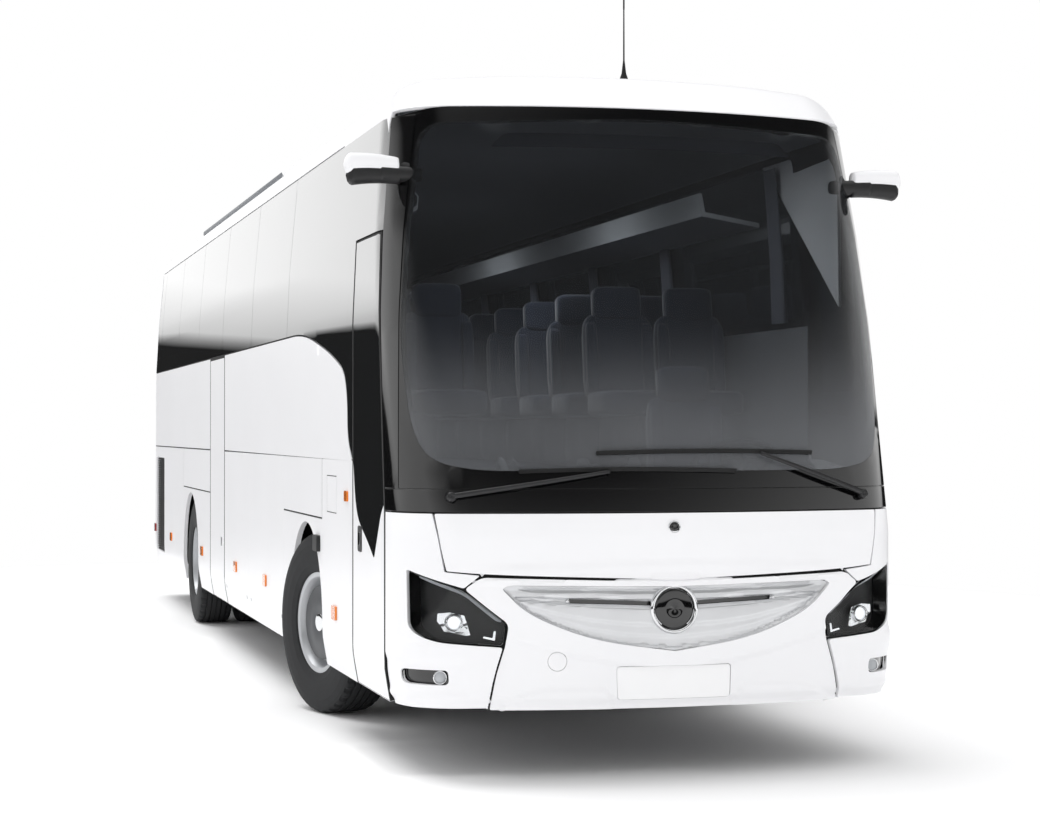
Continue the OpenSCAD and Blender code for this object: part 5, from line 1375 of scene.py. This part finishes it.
def tyre_shape(centre, axis, sides=200):
    """The tyre's section turned round its axle; short notches cut the shoulders at a steady pitch."""
    points, faces = turned(tyre_profile, centre, axis, sides)
    axis = np.asarray(axis, float) / np.linalg.norm(axis)
    off = points - centre
    along = off @ axis
    out = off - along[:, None] * axis
    radius = np.linalg.norm(out, axis=1)
    step = np.tile(np.arange(sides), len(tyre_profile))
    notch = (step % 5 < 2) & (radius > 0.512) & (np.abs(along) > 0.08)
    return centre + along[:, None] * axis + out * (1 - 0.016 * notch)[:, None], faces


def nuts(centre, axis, radius, out, count=10, wide=0.017, tall=0.022):
    """A ring of chamfered hexagonal nuts round an axle."""
    axis = np.asarray(axis, float) / np.linalg.norm(axis)
    side_a = np.cross(axis, [0, 0, 1.0])
    side_b = np.cross(axis, side_a)
    turns = np.linspace(0, 2 * math.pi, count + 1)[:-1]
    return [turned([[1e-4, tall], [wide * 0.7, tall], [wide, tall - 0.005], [wide, -0.004]],
                   centre + axis * out + radius * (side_a * math.cos(t) + side_b * math.sin(t)), axis, 6,
                   False)
            for t in turns]


for hand, side in (("left", 1), ("right", -1)):
    low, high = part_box("rim_front_" + hand)
    steered = math.radians(15)
    axis = side * np.array([-math.sin(steered), math.cos(steered), 0.0])
    centre = np.array([(low.x + high.x) / 2, (low.y + high.y) / 2, (low.z + high.z) / 2])
    body = "wheel_front_" + hand
    piece("tyre_shape_front_" + hand, [tyre_shape(centre, axis)], tyre_black, body,
          ["tyre_front_" + hand], smooth=False)
    barrel = [[0.264, -0.122], [0.298, -0.123], [0.299, -0.118], [0.286, -0.113], [0.286, 0.113],
              [0.299, 0.118], [0.298, 0.123], [0.268, 0.124], [0.262, 0.118], [0.252, 0.06], [0.244, 0.042],
              [0.200, 0.060],
              [0.196, 0.064], [0.0001, 0.064], [0.0001, 0.036], [0.1205, 0.036], [0.1205, 0.014],
              [0.256, 0.014], [0.264, -0.01]]
    piece("rim_shape_front_" + hand, [turned(barrel, centre, axis, 96)], rim_grey, body,
          ["rim_front_" + hand], bevel=0.0015)
    cover = [[0.214, 0.058], [0.214, 0.104], [0.206, 0.110], [0.075, 0.116], [0.070, 0.1145],
             [0.0001, 0.1145], [0.0001, 0.058]]
    piece("wheel_cover_" + hand, [turned(cover, centre, axis, 72)], cover_grey, body,
          bevel=0.001)
    cap = [[0.052, 0.112], [0.050, 0.1195], [0.035, 0.1205], [0.0001, 0.1205], [0.0001, 0.112]]
    piece("hub_cap_front_" + hand, [turned(cap, centre, axis, 48)], chrome, body, bevel=0.0008)
    low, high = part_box("rims_rear_" + hand)
    axis = np.array([0.0, side, 0.0])
    outer = side * (half_w - 0.1725)
    centre = np.array([(low.x + high.x) / 2, outer, (low.z + high.z) / 2])
    twin = 0.345
    body = "wheels_rear_" + hand
    piece("tyre_shape_rear_" + hand, [tyre_shape(centre, axis), tyre_shape(centre - axis * twin, axis)],
          tyre_black, body, ["tyres_rear_" + hand], smooth=False)
    mid = -twin / 2
    barrel = [[0.264, -twin - 0.123], [0.299, -twin - 0.123], [0.299, -twin - 0.118], [0.286, -twin - 0.113],
              [0.286, -twin + 0.113], [0.299, -twin + 0.118], [0.299, -twin + 0.123], [0.288, -twin + 0.125],
              [0.288, -0.125], [0.299, -0.123], [0.299, -0.118], [0.286, -0.113], [0.286, 0.113],
              [0.299, 0.118], [0.299, 0.123], [0.266, 0.123], [0.254, 0.08], [0.246, mid + 0.062],
              [0.19, mid + 0.024], [0.152, mid + 0.031], [0.140, 0.036], [0.118, 0.058], [0.0001, 0.059],
              [0.0001, mid + 0.008], [0.1205, mid + 0.008], [0.1205, mid - 0.02], [0.246, mid - 0.03],
              [0.264, mid - 0.06]]
    piece("rim_shape_rear_" + hand, [turned(barrel, centre, axis, 96)], rim_grey, body,
          ["rims_rear_" + hand], bevel=0.0015)
    piece("wheel_nuts_rear_" + hand, nuts(centre, axis, 0.170, mid + 0.022, 10, 0.016, 0.03), rim_grey, body,
          smooth=False)
    cap = [[0.05, 0.055], [0.048, 0.060], [0.0001, 0.060], [0.0001, 0.055]]
    piece("hub_cap_rear_" + hand, [turned(cap, centre, axis, 48)], chrome, body)

# ---- Side fittings ----
# Small lamps, markers, locks and the air inlet's slats along the sides, set in or stuck on the panels.


def stuck(shapes_side, line, out, step=0.02):
    """A small plate on a side, its face that far out from the panel."""
    return panel(on_side(shapes_side), line, step=step, depth=-out, flip=shapes_side > 0)


marks, locks = {}, {}
for side, hand in ((-1, "right"), (1, "left")):
    flaps = [n for n in frame["bodies"] if n.startswith("flap_" + hand)]
    for x in (4.2555, 1.6355, 0.1545, -1.95, -4.4175):
        carrier = next((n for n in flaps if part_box("luggage_" + n)[0].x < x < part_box("luggage_" + n)[1].x),
                       "coach_body")
        marks.setdefault(carrier, []).append(
            stuck(side, rounded(box_outline(x - 0.06, x + 0.06, 0.615, 0.690), 0.012), 0.012))
    for n in flaps:
        low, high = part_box("luggage_" + n)
        for x in (low.x + 0.10, high.x - 0.10):
            locks.setdefault(n, []).append(
                stuck(side, np.stack([x + 0.014 * np.cos(round_t), 0.475 + 0.014 * np.sin(round_t)], 1),
                      0.003))
red_marks = [stuck(side, rounded(box_outline(rear_x + 0.16, rear_x + 0.26, 0.635, 0.715), 0.02), 0.014)
             for side in (-1, 1)]
piece("rear_side_lamps", red_marks, tail_red, thick=0.016, bevel=0.003)
for carrier, shapes in marks.items():
    piece("side_markers_" + carrier, shapes, orange_lens, carrier, thick=0.014, bevel=0.002)
for carrier, shapes in locks.items():
    piece("locks_" + carrier, shapes, silver_lacquer, carrier, thick=0.008, bevel=0.001)
repeater = [stuck(side, rounded(box_outline(4.57, 4.65, 1.262, 1.318), 0.015), 0.010) for side in (-1, 1)]
piece("side_repeaters", repeater, orange_lens, thick=0.016, bevel=0.003)
box = [stuck(-1, rounded(box_outline(3.64, 3.78, 0.955, 1.046), 0.012), 0.022)]
piece("arch_light_housing", box, satin_black, thick=0.03, bevel=0.003)
handle = [stuck(-1, rounded(box_outline(4.93, 5.03, 1.02, 1.15), 0.02), 0.004)]
piece("door_lock_plate", handle, satin_black, "front_door", thick=0.01, bevel=0.002)
knob = [stuck(-1, rounded(box_outline(4.96, 5.00, 1.05, 1.12), 0.012), 0.008)]
piece("door_lock", knob, chrome, "front_door", thick=0.01, bevel=0.002)
knob = [stuck(-1, rounded(box_outline(mid_x1 - 0.17, mid_x1 - 0.13, 0.76, 0.83), 0.012), 0.007)]
piece("mid_door_lock", knob, chrome, "mid_door", thick=0.01, bevel=0.002)
slats = []
louvre_low, louvre_high = louvre.min(0), louvre.max(0)
for z in np.arange(louvre_low[1] + 0.012, louvre_high[1] - 0.008, 0.022):
    for side in (-1, 1):
        slats.append(stuck(side, box_outline(louvre_low[0] + 0.004, louvre_high[0] - 0.004, z - 0.007,
                                             z + 0.007),
                           -0.012, 0.2))
piece("air_inlet_slats", slats, satin_black, thick=0.012)
piece("air_inlet_backs", [stuck(side, louvre, -0.032, 0.2) for side in (-1, 1)], satin_black,
      thick=0.006)

# ---- Cabin ----
# Two rows of double seats in dark blue-grey plush with headrests, a driver's seat, a padded dashboard,
# a leather-rimmed steering wheel and moulded luggage racks.
plush, tree, shader, place = coating("blue_grey_plush", {"Roughness": 0.9, "Sheen Weight": 0.5})
mottle(tree, shader, place, 0.03, "#2E3340", "#474D5C")
relief(tree, shader, place, 0.002, 0.0005)
driver_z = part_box("seats")[0].z
seat_z = driver_z + 0.5


def cushion(centre, size, sides=14, rise=20):
    """A rounded block: a superellipsoid with the exponents of a firm cushion."""
    u = np.linspace(0, 2 * math.pi, rise + 1)[None, :-1]
    v = np.linspace(-math.pi / 2, math.pi / 2, sides)[:, None]

    def power(value, k):
        """The value's size to the power k, with its sign kept."""
        return np.sign(value) * np.abs(value) ** k

    x = centre[0] + size[0] / 2 * power(np.cos(v), 0.35) * power(np.cos(u), 0.35)
    y = centre[1] + size[1] / 2 * power(np.cos(v), 0.35) * power(np.sin(u), 0.35)
    z = centre[2] + size[2] / 2 * power(np.sin(v), 0.35) + 0 * x
    return grid(x, y, z, closed_u=True)


def lean(shape, foot, angle):
    """Turns a shape back about a level line through a foot point."""
    points, faces = shape
    c, s = math.cos(angle), math.sin(angle)
    x, z = points[:, 0] - foot[0], points[:, 2] - foot[2]
    return np.stack([foot[0] + c * x - s * z, points[:, 1], foot[2] + s * x + c * z], 1), faces


def seat_shapes(x, y, z, wide):
    """Seat pan, leaning back with two side rolls, and a headrest; x is the front edge of the pan."""
    foot = (x - 0.40, 0, z + 0.40)
    mid = y + wide / 2
    return [cushion((x - 0.23, mid, z + 0.39), (0.44, wide - 0.01, 0.15)),
            lean(cushion((x - 0.42, mid, z + 0.67), (0.10, wide - 0.012, 0.52)), foot, 0.13),
            lean(cushion((x - 0.405, mid - wide / 2 + 0.045, z + 0.65), (0.12, 0.07, 0.44)), foot, 0.13),
            lean(cushion((x - 0.405, mid + wide / 2 - 0.045, z + 0.65), (0.12, 0.07, 0.44)), foot, 0.13),
            lean(cushion((x - 0.41, mid, z + 0.99), (0.10, wide * 0.68, 0.20)), foot, 0.13)]


seat_wide, seat_pitch = 0.435, 0.78
inner_half = half_w - 0.045
seat_x1 = 3.9575
row_x = [seat_x1 - i * seat_pitch for i in range(20) if seat_x1 - i * seat_pitch > rear_x + 0.7]
legs = []
for i, x in enumerate(row_x):
    shapes = []
    for side in (-1, 1):
        if side < 0 and mid_x0 - 0.25 < x < mid_x1 + 0.46:
            continue
        for j in (0, 1):
            y = inner_half - 0.02 - seat_wide - j * (seat_wide + 0.012) if side > 0 \
                else 0.02 - inner_half + j * (seat_wide + 0.012)
            shapes += seat_shapes(x, y, seat_z, seat_wide)
        middle = side * (inner_half - 0.02 - seat_wide)
        legs.append(cushion((x - 0.23, middle, seat_z + 0.17), (0.30, 0.30, 0.33), 8, 12))
    row = piece(f"seat_row_{i}", shapes, plush, replaces=["seats"] if i == 0 else ())
driver_seat = piece("driver_seat", seat_shapes(4.6325 + 0.24, 0.43, driver_z, seat_wide), plush)
legs.append(cushion((4.6325, 0.43 + seat_wide / 2, driver_z + 0.17), (0.30, 0.30, 0.33), 8, 12))
piece("seat_legs", legs, chassis_paint)
dash_grey, tree, shader, place = coating("grained_grey_dashboard", {"Roughness": 0.6})
mottle(tree, shader, place, 0.02, "#6F7277", "#84878C")
relief(tree, shader, place, 0.0015, 0.0002)
coat_node(dash_grey, "dashboard")
leather, tree, shader, place = coating("black_leather", {"Roughness": 0.45})
mottle(tree, shader, place, 0.01, "#131314", "#1D1D1F")
relief(tree, shader, place, 0.002, 0.0003, "ShaderNodeTexVoronoi")
coat_node(leather, "steering_wheel")
rack_grey, tree, shader, place = coating("light_grey_rack_moulding", {"Roughness": 0.5})
mottle(tree, shader, place, 0.4, "#B9BBBF", "#C8CACD")
relief(tree, shader, place, 0.003, 0.0001)
coat_node(rack_grey, "luggage_racks")
blind_line = rounded([[-0.80, 3.02], [0.92, 3.02], [0.84, 3.09], [-0.72, 3.09]], 0.03)
blind_grey, tree, shader, place = coating("grey_blind_cloth", {"Roughness": 0.9})
mottle(tree, shader, place, 0.01, "#5D5F6B", "#6A6C78")
blind = panel(on_front, blind_line, step=0.06, depth=0.12)
piece("sun_blind", [blind], blind_grey, thick=0.004)
rail_path = np.array([[front_x - 0.75, -0.62, 1.34], [front_x - 0.9, -0.60, 1.46],
                      [front_x - 1.15, -0.55, 1.48], [front_x - 1.3, -0.53, 1.40],
                      [front_x - 1.3, -0.53, 0.93]])
piece("entrance_rail", [sweep(rail_path, 0.016, 0.016, up=(0.1, 1.0, 0.2))], rim_grey)
for i, x in enumerate((4.9, 2.6, -0.4)):
    data = bpy.data.lights.new("cabin_light_" + str(i), "AREA")
    data.energy = 22
    data.size = 0.6
    light = bpy.data.objects.new("cabin_light_" + str(i), data)
    light.location = (x, 0, 3.15)
    light.visible_camera = False
    light.visible_glossy = False
    light.visible_transmission = False
    scene.collection.objects.link(light)
